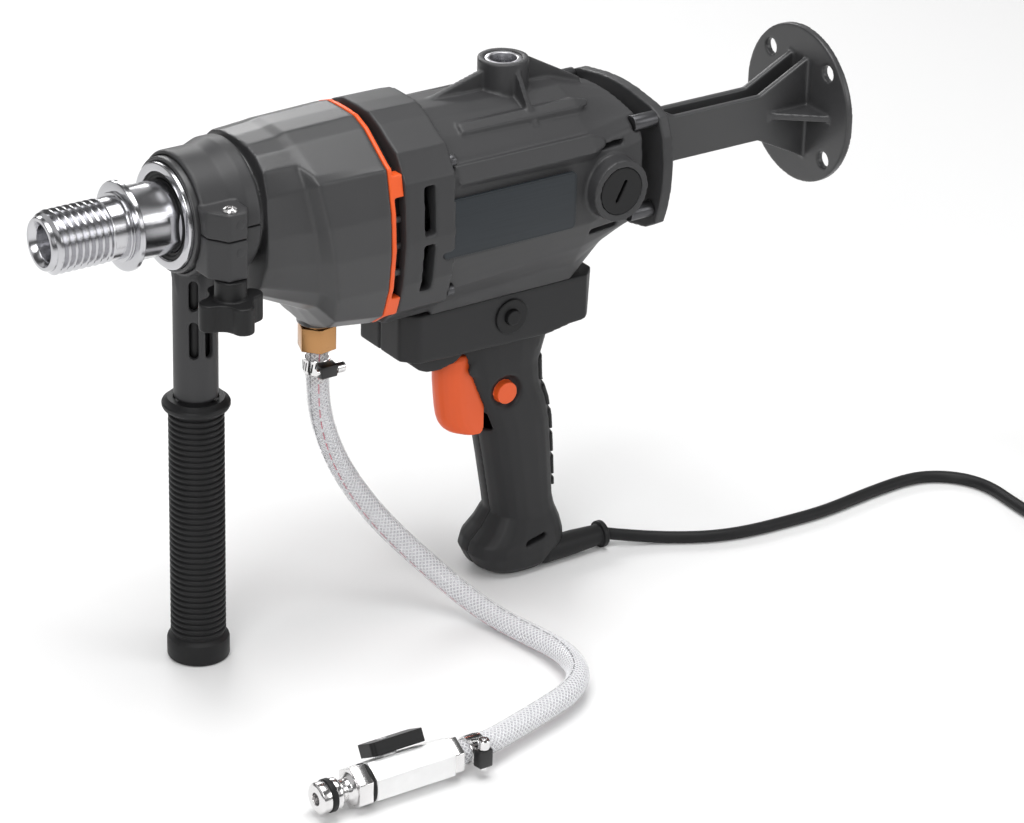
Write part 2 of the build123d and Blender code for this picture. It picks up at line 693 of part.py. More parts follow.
with BuildPart() as grip_shell_near:
    add(grip_body.part)
    split(bisect_by=Plane.XZ, keep=Keep.TOP)
    add(screw_bores.part, mode=Mode.SUBTRACT)
grip_shell_near.part.label = "grip_shell_near"
export_step(grip_shell_near.part, "parts/grip_shell_near.step")

with BuildPart() as grip_shell_far:
    add(grip_body.part)
    split(bisect_by=Plane.XZ, keep=Keep.BOTTOM)
    add(screw_bores.part, mode=Mode.SUBTRACT)
grip_shell_far.part.label = "grip_shell_far"
export_step(grip_shell_far.part, "parts/grip_shell_far.step")

with BuildPart() as grip_screws:
    for x, z in shell_screw_places:
        rod((x, -7.5, z), (x, 15, z), 1.6)
        rod((x, 14.5, z), (x, 16.5, z), 3.2)
grip_screws.part.label = "grip_screws"
export_step(grip_screws.part, "parts/grip_screws.step")

with BuildPart() as grip_pads:
    column(grip_sections, 2.6, grow=1.3)
    with BuildSketch(Plane(origin=(45, 0, 0), x_dir=(0, 1, 0), z_dir=(1, 0, 0))) as pad_fronts:
        for z, height in pad_places:
            with Locations((0, z)):
                RectangleRounded(23, height, 1.8)
    extrude(pad_fronts.sketch, amount=40, mode=Mode.INTERSECT)
    add(grip_body.part, mode=Mode.SUBTRACT)
    add(grip_core.part, mode=Mode.SUBTRACT)
grip_pads.part.label = "grip_pads"
export_step(grip_pads.part, "parts/grip_pads.step")

with BuildPart() as trigger:
    trigger_side = [
        (-3.2, 131.0), (2, 133.5), (18, 133.5), (20.5, 124), (22, 95), (19.5, 91), (15, 87.6),
        (9.5, 86.4), (4.5, 87.6), (1.0, 91), (-1.0, 97), (-2.6, 110),
    ]
    side_prism(trigger_side, 10.7)
    rod((pivot_x, -12.6, pivot_z), (pivot_x, 12.6, pivot_z), 2.5)
trigger.part.label = "trigger"
export_step(trigger.part, "parts/trigger.step")

with BuildPart() as switch_module:
    with BuildSketch(Plane.XY.offset(92)):
        with Locations((41, 0)):
            Rectangle(24, 16)
    extrude(amount=33)
switch_module.part.label = "switch_module"
export_step(switch_module.part, "parts/switch_module.step")

with BuildPart() as lock_button:
    x, z = lock_button_place
    rod((x, -17.4, z), (x, -11.0, z), 6.0)
    rod((x, -13.3, z), (x, -11.0, z), 6.8)
lock_button.part.label = "lock_button"
export_step(lock_button.part, "parts/lock_button.step")

with BuildPart() as reset_bezel:
    x, z = reset_button_place
    rod((x, -27.2, z), (x, -26.0, z), 9.5)
    rod((x, -26.0, z), (x, -18.5, z), 8.0)
    rod((x, -28, z), (x, -18, z), 4.05, Mode.SUBTRACT)
reset_bezel.part.label = "reset_bezel"
export_step(reset_bezel.part, "parts/reset_bezel.step")

with BuildPart() as reset_button:
    x, z = reset_button_place
    rod((x, -29.2, z), (x, -16.0, z), 4.0)
    rod((x, -18.2, z), (x, -16.0, z), 6.0)
reset_button.part.label = "reset_button"
export_step(reset_button.part, "parts/reset_button.step")

# ---------------------------------------------------------------- side handle and its clamp
clamp_x = -149.0
clamp_y = -40.0
collar_bore = neck_radius + 0.3
with BuildPart() as clamp_collar:
    turned(
        [
            (-158, collar_bore), (-158, 30.3), (-156.7, 31.5), (-142.1, 31.5), (-134.9, 34),
            (-128.3, 34), (-127.1, 32.8), (-127.1, collar_bore),
        ],
        lengthwise(*spindle_centre),
    )
    with BuildSketch(Plane.XY.offset(spindle_z - 20.5)) as lug:
        with BuildLine():
            Polyline(
                (-159.5, -24), (-159.5, -36), (-153, -46), (-143, -46), (-139.5, -40), (-139.5, -24),
                close=True,
            )
        make_face()
    extrude(lug.sketch, amount=34.5)
    rod((handle_x, 0, spindle_z - 29.5), (handle_x, 0, 146), 11.3)
    rod((handle_x, 0, 213), (handle_x, 0, 165), 8.0, Mode.SUBTRACT)
    upper_slot = [(-125, 212, 196)]
    lower_slots = [(azimuth, 190, 170) for azimuth in (-125, -81, 55, 99)]
    for azimuth, top, bottom in upper_slot + lower_slots:
        angle = math.radians(azimuth)
        outward = Vector(math.cos(angle), math.sin(angle), 0)
        middle = Vector(handle_x, 0, (top + bottom) / 2) + outward * 6
        with BuildSketch(Plane(origin=middle, x_dir=(0, 0, 1), z_dir=outward)) as vent:
            SlotOverall(top - bottom, 4.5)
        extrude(vent.sketch, amount=8, mode=Mode.SUBTRACT)
    rod((handle_x, 0, 146), (handle_x, 0, 6), 9.0)
    rod((-165, 0, spindle_z), (-125, 0, spindle_z), collar_bore, Mode.SUBTRACT)
    rod((clamp_x, clamp_y, 200), (clamp_x, clamp_y, 265), 3.1, Mode.SUBTRACT)

split_gap = 0.3
with BuildPart() as collar_upper:
    add(clamp_collar.part)
    split(bisect_by=Plane.XY.offset(spindle_z + split_gap), keep=Keep.TOP)
collar_upper.part.label = "collar_upper"
export_step(collar_upper.part, "parts/collar_upper.step")

with BuildPart() as collar_lower:
    add(clamp_collar.part)
    split(bisect_by=Plane.XY.offset(spindle_z - split_gap), keep=Keep.BOTTOM)
collar_lower.part.label = "collar_lower"
export_step(collar_lower.part, "parts/collar_lower.step")

with BuildPart() as clamp_bolt:
    rod((clamp_x, clamp_y, 208), (clamp_x, clamp_y, 260), 3.0)
    rod((clamp_x, clamp_y, 260), (clamp_x, clamp_y, 262.4), 4.8)
clamp_bolt.part.label = "clamp_bolt"
export_step(clamp_bolt.part, "parts/clamp_bolt.step")

with BuildPart() as clamp_knob:
    rod((clamp_x, clamp_y, 215), (clamp_x, clamp_y, 225.2), 8.0)
    with BuildSketch(Plane(origin=(clamp_x, clamp_y, 201))) as lobes:
        Circle(12.5)
        with PolarLocations(11.7, 4):
            Circle(5.5)
        with PolarLocations(18.5, 4, start_angle=45):
            Circle(7.5, mode=Mode.SUBTRACT)
    extrude(lobes.sketch, amount=14)
    rod((clamp_x, clamp_y, 207), (clamp_x, clamp_y, 226), 3.05, Mode.SUBTRACT)
clamp_knob.part.label = "clamp_knob"
export_step(clamp_knob.part, "parts/clamp_knob.step")

with BuildPart() as side_grip:
    rod((handle_x, 0, 0), (handle_x, 0, 12), 16.0)
    rod((handle_x, 0, 12), (handle_x, 0, 138), 14.1)
    rod((handle_x, 0, 138), (handle_x, 0, 145.5), 17.0)
    rod((handle_x, 0, 5.5), (handle_x, 0, 146), 9.05, Mode.SUBTRACT)
side_grip.part.label = "side_grip"
export_step(side_grip.part, "parts/side_grip.step")

# ---------------------------------------------------------------- water feed
with BuildPart() as water_inlet:
    rod((inlet_x, 0, 178), (inlet_x, 0, 169.5), 5.0)
    with BuildSketch(Plane.XY.offset(155.4)):
        with Locations((inlet_x, 0)):
            RegularPolygon(10.3, 6, rotation=10)
    extrude(amount=13.0)
    rod((inlet_x, 0, 169.5), (inlet_x, 0, 168.4), 8.0)
    turned(
        [(-20, 0), (-20, 3.4), (-14, 4.0), (-14, 3.4), (-8, 4.0), (-8, 3.4), (0.4, 3.8), (0.4, 0)],
        Plane(origin=(inlet_x, 0, 155), x_dir=(0, 0, 1), z_dir=(0, -1, 0)),
    )
    rod((inlet_x, 0, 179), (inlet_x, 0, 134), 2.4, Mode.SUBTRACT)
water_inlet.part.label = "water_inlet"
export_step(water_inlet.part, "parts/water_inlet.step")

hose_bore = 4.05
hose_route = [
    (inlet_x, 0, 155), (inlet_x, 0, 138), (-70.5, 3.5, 113), (-61, 6, 89), (-49, 5.5, 66.5), (-35, -1.5, 45),
    (-20.5, -14.5, 27), (-9.5, -33, 13.5), (-2.5, -56, 6.6), (1.8, -80, 6.3), (5.2, -103, 7.5),
    (2.6, -122, 9), (-5.5, -139, 10.5), (-20, -151.2, 11.3), (-40, -158, 11.2), (-62, -164, 10.6),
    (-84, -170.5, 11), (-100.5, -170.5, 11),
]
cable_route = [
    (99.5, cord_exit_y, cord_exit_z), (119.5, -20.5, 3.4), (146.6, -37.8, 3.25), (169.4, -45.0, 3.25),
    (195.7, -47.3, 3.25), (224.0, -48.4, 3.25), (256.7, -43.7, 3.25), (288.5, -41.5, 3.25),
    (304.0, -47.0, 3.25), (315.8, -58.5, 3.25), (322.0, -74.5, 3.25), (323.4, -96.0, 3.25),
    (322.5, -116.0, 3.25),
]


def corner_radii(route):
    """Largest arc at each corner: 0.45 of the shorter run over tan of half the turn."""
    points = [Vector(*point) for point in route]
    radii = []
    for before, here, after in zip(points, points[1:], points[2:]):
        arriving = here - before
        leaving = after - here
        half_turn = math.radians(arriving.get_angle(leaving)) / 2
        radii.append(0.45 * min(arriving.length, leaving.length) / math.tan(half_turn))
    return radii


def cord_solid(route, radius, bore=0.0):
    """Round cord along straight runs joined by tangent arcs; returns its path length."""
    radii = corner_radii(route)
    print("radii", [round(value, 1) for value in radii])
    with BuildLine() as path:
        FilletPolyline(*route, radius=radii)
    start = Vector(*route[0])
    with BuildSketch(Plane(origin=start, z_dir=Vector(*route[1]) - start)) as face:
        Circle(radius)
        if bore:
            Circle(bore, mode=Mode.SUBTRACT)
    sweep(face.sketch, path=path.wire())
    return path.wire().length


with BuildPart() as water_hose:
    hose_length = cord_solid(hose_route, hose_radius, hose_bore)
hose_section = math.pi * (hose_radius**2 - hose_bore**2)
hose_ratio = water_hose.part.volume / hose_section / hose_length
print("hose length", round(hose_length, 1), "volume ratio", round(hose_ratio, 4))
water_hose.part.label = "water_hose"
export_step(water_hose.part, "parts/water_hose.step")

valve_y = -170.5
valve_z = 11.0
valve_x = -138.5
stem_axis = Vector(0, 0.5, math.sqrt(3) / 2)
valve_centre = (valve_y, valve_z)
valve_middle = Vector(valve_x, valve_y, valve_z)


def hexagon(x_from, x_to, corner_radius):
    """Hexagonal bar along the valve, corners up and down."""
    with BuildSketch(across(x_from)) as profile:
        with Locations(valve_centre):
            RegularPolygon(corner_radius, 6, rotation=30)
    extrude(profile.sketch, amount=x_to - x_from)


with BuildPart() as hose_clamps:
    tube((inlet_x, 0, 142), (inlet_x, 0, 150), 7.2, hose_radius + 0.05)
    with BuildSketch(Plane.XY.offset(142.8)):
        with Locations((inlet_x, -9.3)):
            Rectangle(11, 4.6)
    extrude(amount=6.4)
    rod((inlet_x + 5.5, -9.3, 146), (inlet_x + 11, -9.3, 146), 2.6)
    tube((-97.5, *valve_centre), (-85.5, *valve_centre), 7.2, hose_radius + 0.05)
    with BuildSketch(Plane.XY.offset(valve_z - 4)):
        with Locations((-91.5, valve_y - 9.3)):
            Rectangle(8, 4.6)
    extrude(amount=10)
    rod((-91.5, valve_y - 9.3, valve_z - 4), (-91.5, valve_y - 9.3, valve_z - 10), 3.6)
hose_clamps.part.label = "hose_clamps"
export_step(hose_clamps.part, "parts/hose_clamps.step")

with BuildPart() as hose_connector:
    turned(
        [
            (-181.5, 3.2), (-181.5, 6.6), (-180.6, 7.9), (-176.2, 7.9), (-176.2, 6.4), (-173.0, 6.4),
            (-173.0, 7.9), (-170.2, 7.9), (-168.8, 6.2), (-166.0, 5.6), (-164.2, 6.2), (-162.5, 8.4),
            (-162.5, 3.2),
        ],
        lengthwise(*valve_centre),
    )
    hexagon(-162.5, -154.5, 11)
    rod((-154.5, *valve_centre), (-147.5, *valve_centre), 5.95)
    rod((-163, *valve_centre), (-147, *valve_centre), 3.2, Mode.SUBTRACT)
hose_connector.part.label = "hose_connector"
export_step(hose_connector.part, "parts/hose_connector.step")

with BuildPart() as valve_seals:
    tube((-176.2, *valve_centre), (-173.0, *valve_centre), 8.4, 6.4)
    tube((-154.5, *valve_centre), (-152.5, *valve_centre), 10, 5.95)
valve_seals.part.label = "valve_seals"
export_step(valve_seals.part, "parts/valve_seals.step")

ball_radius = 7.5
with BuildPart() as valve_body:
    hexagon(-152.5, -107.5, 11)
    rod(valve_middle, valve_middle + stem_axis * 11.0, 5.5)
    rod((-153, *valve_centre), (-147, *valve_centre), 5.95, Mode.SUBTRACT)
    rod((-148, *valve_centre), (-107, *valve_centre), 4.5, Mode.SUBTRACT)
    rod(valve_middle, valve_middle + stem_axis * 14, 2.55, Mode.SUBTRACT)
    chamber = ball_radius + 0.1
    rod((valve_x - chamber, *valve_centre), (valve_x + chamber, *valve_centre), chamber, Mode.SUBTRACT)
valve_body.part.label = "valve_body"
export_step(valve_body.part, "parts/valve_body.step")

with BuildPart() as valve_ball:
    with Locations(valve_middle):
        Sphere(ball_radius)
    rod((valve_x - 9, *valve_centre), (valve_x + 9, *valve_centre), 4.4, Mode.SUBTRACT)
    rod(valve_middle + stem_axis * 6.2, valve_middle + stem_axis * 8, 2.5, Mode.SUBTRACT)
valve_ball.part.label = "valve_ball"
export_step(valve_ball.part, "parts/valve_ball.step")

with BuildPart() as valve_stem:
    rod(valve_middle + stem_axis * 6.2, valve_middle + stem_axis * 18.2, 2.5)
valve_stem.part.label = "valve_stem"
export_step(valve_stem.part, "parts/valve_stem.step")

with BuildPart() as valve_lever:
    with BuildSketch(Plane(origin=valve_middle + stem_axis * 11.2, x_dir=(1, 0, 0), z_dir=stem_axis)) as wing:
        with Locations((4.5, 0)):
            RectangleRounded(30, 15, 2.2)
        Circle(2.5, mode=Mode.SUBTRACT)
    extrude(wing.sketch, amount=6.8)
valve_lever.part.label = "valve_lever"
export_step(valve_lever.part, "parts/valve_lever.step")

with BuildPart() as valve_nut:
    hexagon(-107.5, -101.5, 9.8)
    rod((-108, *valve_centre), (-101, *valve_centre), 4.0, Mode.SUBTRACT)
valve_nut.part.label = "valve_nut"
export_step(valve_nut.part, "parts/valve_nut.step")

with BuildPart() as hose_tail:
    turned(
        [
            (-107.5, 2.8), (-107.5, 4.0), (-101.5, 4.0), (-97, 3.6), (-97, 4.0), (-92, 3.6),
            (-92, 4.0), (-86, 3.4), (-86, 2.8),
        ],
        lengthwise(*valve_centre),
    )
hose_tail.part.label = "hose_tail"
export_step(hose_tail.part, "parts/hose_tail.step")

# ---------------------------------------------------------------- power cable
with BuildPart() as cable_boot:
    turned(
        [(56, 0), (56, 5.4), (60, 6.9), (80, 6.6), (96.3, 5.6), (96.3, 7.4), (99.5, 7.4), (99.5, 0)],
        lengthwise(cord_exit_y, cord_exit_z),
    )
cable_boot.part.label = "cable_boot"
export_step(cable_boot.part, "parts/cable_boot.step")

with BuildPart() as power_cable:
    cable_length = cord_solid(cable_route, cable_radius)
cable_section = math.pi * cable_radius**2
cable_ratio = power_cable.part.volume / cable_section / cable_length
print("cable length", round(cable_length, 1), "volume ratio", round(cable_ratio, 4))
power_cable.part.label = "power_cable"
export_step(power_cable.part, "parts/power_cable.step")

coil_x = 361.5
coil_y = -150.0
coil_radius = 12 * cable_radius
with BuildPart() as cable_coil:
    with BuildSketch(Plane(origin=(coil_x, coil_y, 0), x_dir=(1, 0, 0), z_dir=(0, -1, 0))) as coil_section:
        with Locations((coil_radius, 3 * cable_radius)):
            RectangleRounded(8 * cable_radius, 6 * cable_radius, 3)
    revolve(coil_section.sketch, axis=Axis((coil_x, coil_y, 0), (0, 0, 1)))
cable_coil.part.label = "cable_coil"
export_step(cable_coil.part, "parts/cable_coil.step")

plug_x = coil_x + coil_radius
plug_z = 18.5
with BuildPart() as plug:
    turned(
        [
            (-116, 0), (-116, 4.6), (-96, 6.5), (-92, 12), (-86, 18.5), (-57, 18.5), (-56, 17.5),
            (-56, 0),
        ],
        Plane(origin=(plug_x, 0, plug_z), x_dir=(0, 1, 0), z_dir=(1, 0, 0)),
    )
plug.part.label = "plug"
export_step(plug.part, "parts/plug.step")

with BuildPart() as plug_pins:
    for side in (-1, 1):
        rod((plug_x + side * 9.5, -56, plug_z), (plug_x + side * 9.5, -37, plug_z), 2.4)
plug_pins.part.label = "plug_pins"
export_step(plug_pins.part, "parts/plug_pins.step")
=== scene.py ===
"""Looks of the hand-held core drill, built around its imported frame.

Outlines, routes and names ending in _mm are in millimetres; other lengths are in metres.
"""
import json
import math

import bmesh
import bpy
from mathutils import Matrix, Vector


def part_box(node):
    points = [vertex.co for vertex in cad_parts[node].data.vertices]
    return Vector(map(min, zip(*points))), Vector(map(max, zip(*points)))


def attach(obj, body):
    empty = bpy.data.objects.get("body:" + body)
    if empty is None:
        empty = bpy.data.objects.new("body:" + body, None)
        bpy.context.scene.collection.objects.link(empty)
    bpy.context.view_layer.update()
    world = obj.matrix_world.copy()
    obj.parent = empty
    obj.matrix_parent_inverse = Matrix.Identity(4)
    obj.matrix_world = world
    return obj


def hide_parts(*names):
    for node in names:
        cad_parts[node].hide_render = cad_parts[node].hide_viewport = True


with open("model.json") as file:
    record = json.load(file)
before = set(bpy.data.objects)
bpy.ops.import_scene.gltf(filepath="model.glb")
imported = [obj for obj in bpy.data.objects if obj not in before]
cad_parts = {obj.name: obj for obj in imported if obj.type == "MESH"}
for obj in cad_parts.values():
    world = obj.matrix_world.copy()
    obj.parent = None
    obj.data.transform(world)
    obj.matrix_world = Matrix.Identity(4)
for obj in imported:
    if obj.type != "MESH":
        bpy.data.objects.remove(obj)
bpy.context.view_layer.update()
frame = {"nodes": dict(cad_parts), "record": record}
nodes = frame["nodes"]
bodies = frame["record"]["behaviour"]["bodies"]
body_of_node = {node: body for body, members in bodies.items() for node in members}
mm = 0.001


# ------------------------------------------------------------------ places read from the frame
def middle(node):
    """Middle of a CAD node's box."""
    low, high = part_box(node)
    return (low + high) / 2


spindle_axis_z = middle("spindle").z
handle_x = middle("side_grip").x
valve_middle = middle("valve_ball")
plate_middle = middle("name_plate")
inlet_x = middle("water_inlet").x

# ------------------------------------------------------------------ camera
camera_place = Vector((-1077.61, -1601.44, 1026.75)) * mm
camera_turn = math.radians(-35.06)
camera_rise = math.radians(25.62)
camera_roll = math.radians(1.53)
back = Vector((
    math.sin(camera_turn) * math.cos(camera_rise),
    -math.cos(camera_turn) * math.cos(camera_rise),
    math.sin(camera_rise),
))
level = Vector((math.cos(camera_turn), math.sin(camera_turn), 0))
upright = back.cross(level)
camera_right = level * math.cos(camera_roll) + upright * math.sin(camera_roll)
camera_up = upright * math.cos(camera_roll) - level * math.sin(camera_roll)
camera = bpy.data.objects.new("camera", bpy.data.cameras.new("camera"))
camera.data.lens = 144.92
camera.data.sensor_width = 36
camera.data.clip_start = 0.05
camera.data.clip_end = 20
turn = Matrix((camera_right, camera_up, back)).transposed().to_4x4()
camera.matrix_world = Matrix.Translation(camera_place) @ turn
bpy.context.scene.collection.objects.link(camera)
bpy.context.scene.camera = camera


# ------------------------------------------------------------------ shader maths
class Value:
    """A shader socket in Python arithmetic: each operator adds one Math node."""

    def __init__(self, finish, socket):
        self.finish = finish
        self.socket = socket

    def math(self, operation, first, second=None):
        inputs = {0: first} if second is None else {0: first, 1: second}
        return self.finish.node("ShaderNodeMath", {"operation": operation}, inputs)

    def __add__(self, other):
        return self.math("ADD", self, other)

    __radd__ = __add__

    def __sub__(self, other):
        return self.math("SUBTRACT", self, other)

    def __rsub__(self, other):
        return self.math("SUBTRACT", other, self)

    def __mul__(self, other):
        return self.math("MULTIPLY", self, other)

    __rmul__ = __mul__

    def above(self, limit):
        return self.math("GREATER_THAN", self, limit)

    def unsigned(self):
        return self.math("ABSOLUTE", self)

    def or_more(self, other):
        return self.math("MAXIMUM", self, other)


class Finish:
    """One material under construction, round a Principled shader."""

    def __init__(self, name, colour, roughness, metallic=0.0, **settings):
        self.material = bpy.data.materials.new(name)
        self.material.use_nodes = True
        self.tree = self.material.node_tree
        self.shader = self.tree.nodes["Principled BSDF"]
        self.material.diffuse_color = (*colour, 1)
        self.set("Base Color", (*colour, 1))
        self.set("Roughness", roughness)
        self.set("Metallic", metallic)
        for socket, value in settings.items():
            self.set(socket.replace("_", " "), value)

    def set(self, socket, value):
        self.feed(self.shader.inputs[socket], value)

    def feed(self, socket, value):
        if isinstance(value, Value):
            self.tree.links.new(value.socket, socket)
        else:
            socket.default_value = value

    def node(self, kind, settings=None, inputs=None, output=0):
        """Add a node: settings first, then its sockets; a ramp's stops are the setting "stops"."""
        made = self.tree.nodes.new(kind)
        for name, value in (settings or {}).items():
            if name == "stops":
                ramp = made.color_ramp.elements
                while len(ramp) < len(value):
                    ramp.new(0.5)
                for element, (place, colour) in zip(ramp, value):
                    element.position = place
                    element.color = (*colour, 1)
            else:
                setattr(made, name, value)
        for name, value in (inputs or {}).items():
            self.feed(made.inputs[name], value)
        return Value(self, made.outputs[output])

    def place(self):
        return self.node("ShaderNodeTexCoord", output="Object")

    def stretched(self, scale, source=None):
        return self.node("ShaderNodeMapping", None, {"Vector": source or self.place(), "Scale": scale})

    def along(self, axis):
        """One object coordinate, 0 for X, 1 for Y, 2 for Z."""
        return self.node("ShaderNodeSeparateXYZ", None, {0: self.place()}, output=axis)

    def noise(self, scale, detail=2.0, vector=None):
        inputs = {"Vector": vector or self.place(), "Scale": scale, "Detail": detail}
        return self.node("ShaderNodeTexNoise", None, inputs)

    def blend(self, factor, first, second):
        """Mix two colours by a value."""
        inputs = {0: factor, 6: (*first, 1), 7: (*second, 1)}
        return self.node("ShaderNodeMix", {"data_type": "RGBA"}, inputs, output=2)

    def relief(self, height, distance, strength=1.0):
        inputs = {"Height": height, "Distance": distance, "Strength": strength}
        self.set("Normal", self.node("ShaderNodeBump", None, inputs))

    def done(self):
        return self.material


def tinted(colour, share):
    return tuple(channel * share for channel in colour)


def moulded_plastic(name, colour, roughness, grain=1.0):
    """Moulded plastic: a fine spark-eroded grain, soft scuffs and slightly uneven colour."""
    finish = Finish(name, colour, roughness, Specular_IOR_Level=0.30 if max(colour) < 0.03 else 0.42)
    cloud = finish.noise(14.0, 3.0)
    scuff = finish.noise(1.0, 4.0, finish.stretched((60, 240, 90)))
    finish.set("Base Color", finish.blend(cloud, tinted(colour, 0.88), tinted(colour, 1.12)))
    finish.set("Roughness", roughness - 0.06 + cloud * 0.07 + scuff * 0.06)
    speckle = finish.noise(2600.0, 1.0)
    finish.relief(speckle + cloud * 0.3, 0.00006 * grain, 0.35)
    return finish.done()


def painted_casting(name, colour, roughness):
    """Satin paint over a die casting: orange peel and faint mottling."""
    finish = Finish(name, colour, roughness, Coat_Weight=0.12, Coat_Roughness=0.3)
    cloud = finish.noise(22.0, 3.0)
    finish.set("Base Color", finish.blend(cloud, tinted(colour, 0.86), tinted(colour, 1.14)))
    finish.set("Roughness", roughness - 0.04 + cloud * 0.09)
    peel = finish.noise(900.0, 2.0)
    finish.relief(peel, 0.00009, 0.3)
    return finish.done()


def turned_metal(name, colour, roughness, axis):
    """Metal turned in a lathe: fine rings across one axis."""
    finish = Finish(name, colour, roughness, 1.0)
    across, around = 5200, 8
    scale = [across if place == axis else around for place in range(3)]
    rings = finish.noise(1.0, 3.0, finish.stretched(scale))
    broad = finish.noise(30.0, 2.0)
    finish.set("Roughness", roughness - 0.05 + rings * 0.08 + broad * 0.05)
    finish.set("Base Color", finish.blend(rings, tinted(colour, 0.9), tinted(colour, 1.05)))
    finish.relief(rings, 0.00002, 0.35)
    return finish.done()


def plated_metal(name, colour, roughness):
    """Bright plating: almost smooth, with a faint polish haze."""
    finish = Finish(name, colour, roughness, 1.0)
    haze = finish.noise(160.0, 4.0)
    wipe = finish.noise(1.0, 3.0, finish.stretched((900, 120, 900)))
    finish.set("Roughness", roughness - 0.04 + haze * 0.08 + wipe * 0.04)
    finish.set("Base Color", finish.blend(haze, tinted(colour, 0.93), tinted(colour, 1.03)))
    finish.relief(wipe, 0.00001, 0.3)
    return finish.done()


def soft_rubber(name, colour, roughness):
    """Rubber and soft PVC: matt with a dusty bloom."""
    finish = Finish(name, colour, roughness, Specular_IOR_Level=0.28)
    bloom = finish.noise(55.0, 4.0)
    pores = finish.noise(3200.0, 1.0)
    finish.set("Base Color", finish.blend(bloom, tinted(colour, 0.8), tinted(colour, 1.5)))
    finish.set("Roughness", roughness - 0.05 + bloom * 0.1)
    finish.relief(pores, 0.00005, 0.3)
    return finish.done()


def wound_copper():
    """Lacquered winding wire: fine ridges along the drill."""
    finish = Finish("wound_copper", (0.42, 0.16, 0.06), 0.35, 1.0)
    inputs = {"Scale": 420.0, "Vector": finish.place()}
    ridge = finish.node("ShaderNodeTexWave", {"bands_direction": "Z"}, inputs, output=1)
    finish.relief(ridge, 0.0002, 0.6)
    finish.set("Roughness", 0.3 + ridge * 0.15)
    return finish.done()


plate_half_length = 0.0384
plate_half_height = 0.0144


def label_film():
    """Dark blue-grey printed film with a fine brushed print."""
    finish = Finish("label_film", (0.016, 0.020, 0.024), 0.36, Specular_IOR_Level=0.35)
    streak = finish.noise(1.0, 3.0, finish.stretched((30, 30, 1400)))
    across = (finish.along(0) - plate_middle.x).unsigned()
    upwards = (finish.along(2) - plate_middle.z).unsigned()
    border = across.above(plate_half_length).or_more(upwards.above(plate_half_height))
    shade = streak * (1 - border * 0.9) - border * 0.5
    finish.set("Base Color", finish.blend(shade, (0.013, 0.017, 0.021), (0.022, 0.028, 0.034)))
    finish.relief(streak, 0.00001, 0.2)
    return finish.done()


def braid_yarn():
    """White polyester yarn with fibres along it."""
    finish = Finish("braid_yarn", (0.86, 0.86, 0.88), 0.45, Sheen_Weight=0.3)
    fibre = finish.noise(2400.0, 2.0)
    finish.set("Base Color", finish.blend(fibre, (0.74, 0.74, 0.77), (0.93, 0.93, 0.94)))
    finish.relief(fibre, 0.00005, 0.5)
    return finish.done()


def hose_liner():
    """Milky inner wall of the hose."""
    finish = Finish("hose_liner", (0.50, 0.50, 0.54), 0.3)
    cloud = finish.noise(70.0, 3.0)
    finish.set("Base Color", finish.blend(cloud, (0.62, 0.62, 0.66), (0.80, 0.80, 0.83)))
    finish.set("Alpha", 0.42 + cloud * 0.12)
    finish.set("Roughness", 0.25 + cloud * 0.15)
    return finish.done()


def clear_wall():
    """Clear outer wall of the hose: mostly see-through, glossy, faintly rippled."""
    finish = Finish("clear_wall", (0.94, 0.94, 0.96), 0.08, IOR=1.5)
    ripple = finish.noise(120.0, 2.0)
    finish.set("Alpha", 0.16 + ripple * 0.10)
    finish.set("Roughness", 0.06 + ripple * 0.08)
    finish.relief(ripple, 0.0002, 0.25)
    return finish.done()


graphite = (0.034, 0.034, 0.0355)
orange = (0.80, 0.105, 0.018)
steel = (0.58, 0.58, 0.60)
materials = {
    "graphite_plastic": moulded_plastic("graphite_plastic", graphite, 0.46),
    "grip_plastic": moulded_plastic("grip_plastic", (0.021, 0.021, 0.022), 0.50, 1.4),
    "cast_graphite": painted_casting("cast_graphite", (0.038, 0.038, 0.0395), 0.38),
    "orange_plastic": moulded_plastic("orange_plastic", orange, 0.40),
    "black_plastic": moulded_plastic("black_plastic", (0.006, 0.006, 0.0065), 0.40),
    "knob_plastic": moulded_plastic("knob_plastic", (0.010, 0.010, 0.0105), 0.44),
    "clamp_black": painted_casting("clamp_black", (0.006, 0.006, 0.0065), 0.3),
    "black_rubber": soft_rubber("black_rubber", (0.0085, 0.0085, 0.009), 0.50),
    "pad_rubber": soft_rubber("pad_rubber", (0.016, 0.016, 0.0165), 0.58),
    "turned_steel": turned_metal("turned_steel", steel, 0.17, 0),
    "ground_steel": plated_metal("ground_steel", (0.55, 0.55, 0.57), 0.26),
    "nickel_plate": plated_metal("nickel_plate", (0.80, 0.79, 0.79), 0.16),
    "satin_plate": plated_metal("satin_plate", (0.93, 0.93, 0.93), 0.58),
    "dark_steel": plated_metal("dark_steel", (0.10, 0.10, 0.105), 0.38),
    "machined_brass": plated_metal("machined_brass", (0.47, 0.25, 0.105), 0.24),
    "pin_brass": plated_metal("pin_brass", (0.72, 0.56, 0.28), 0.24),
    "core_iron": turned_metal("core_iron", (0.16, 0.155, 0.15), 0.5, 0),
    "wound_copper": wound_copper(),
    "label_film": label_film(),
    "braid_yarn": braid_yarn(),
    "hose_liner": hose_liner(),
    "clear_wall": clear_wall(),
    "tracer_crimson": moulded_plastic("tracer_crimson", (0.50, 0.015, 0.07), 0.4),
    "tracer_grey": moulded_plastic("tracer_grey", (0.11, 0.11, 0.12), 0.4),
}


# ------------------------------------------------------------------ making and keeping pieces
def link(name, mesh):
    made = bpy.data.objects.new(name, mesh)
    bpy.context.scene.collection.objects.link(made)
    return made


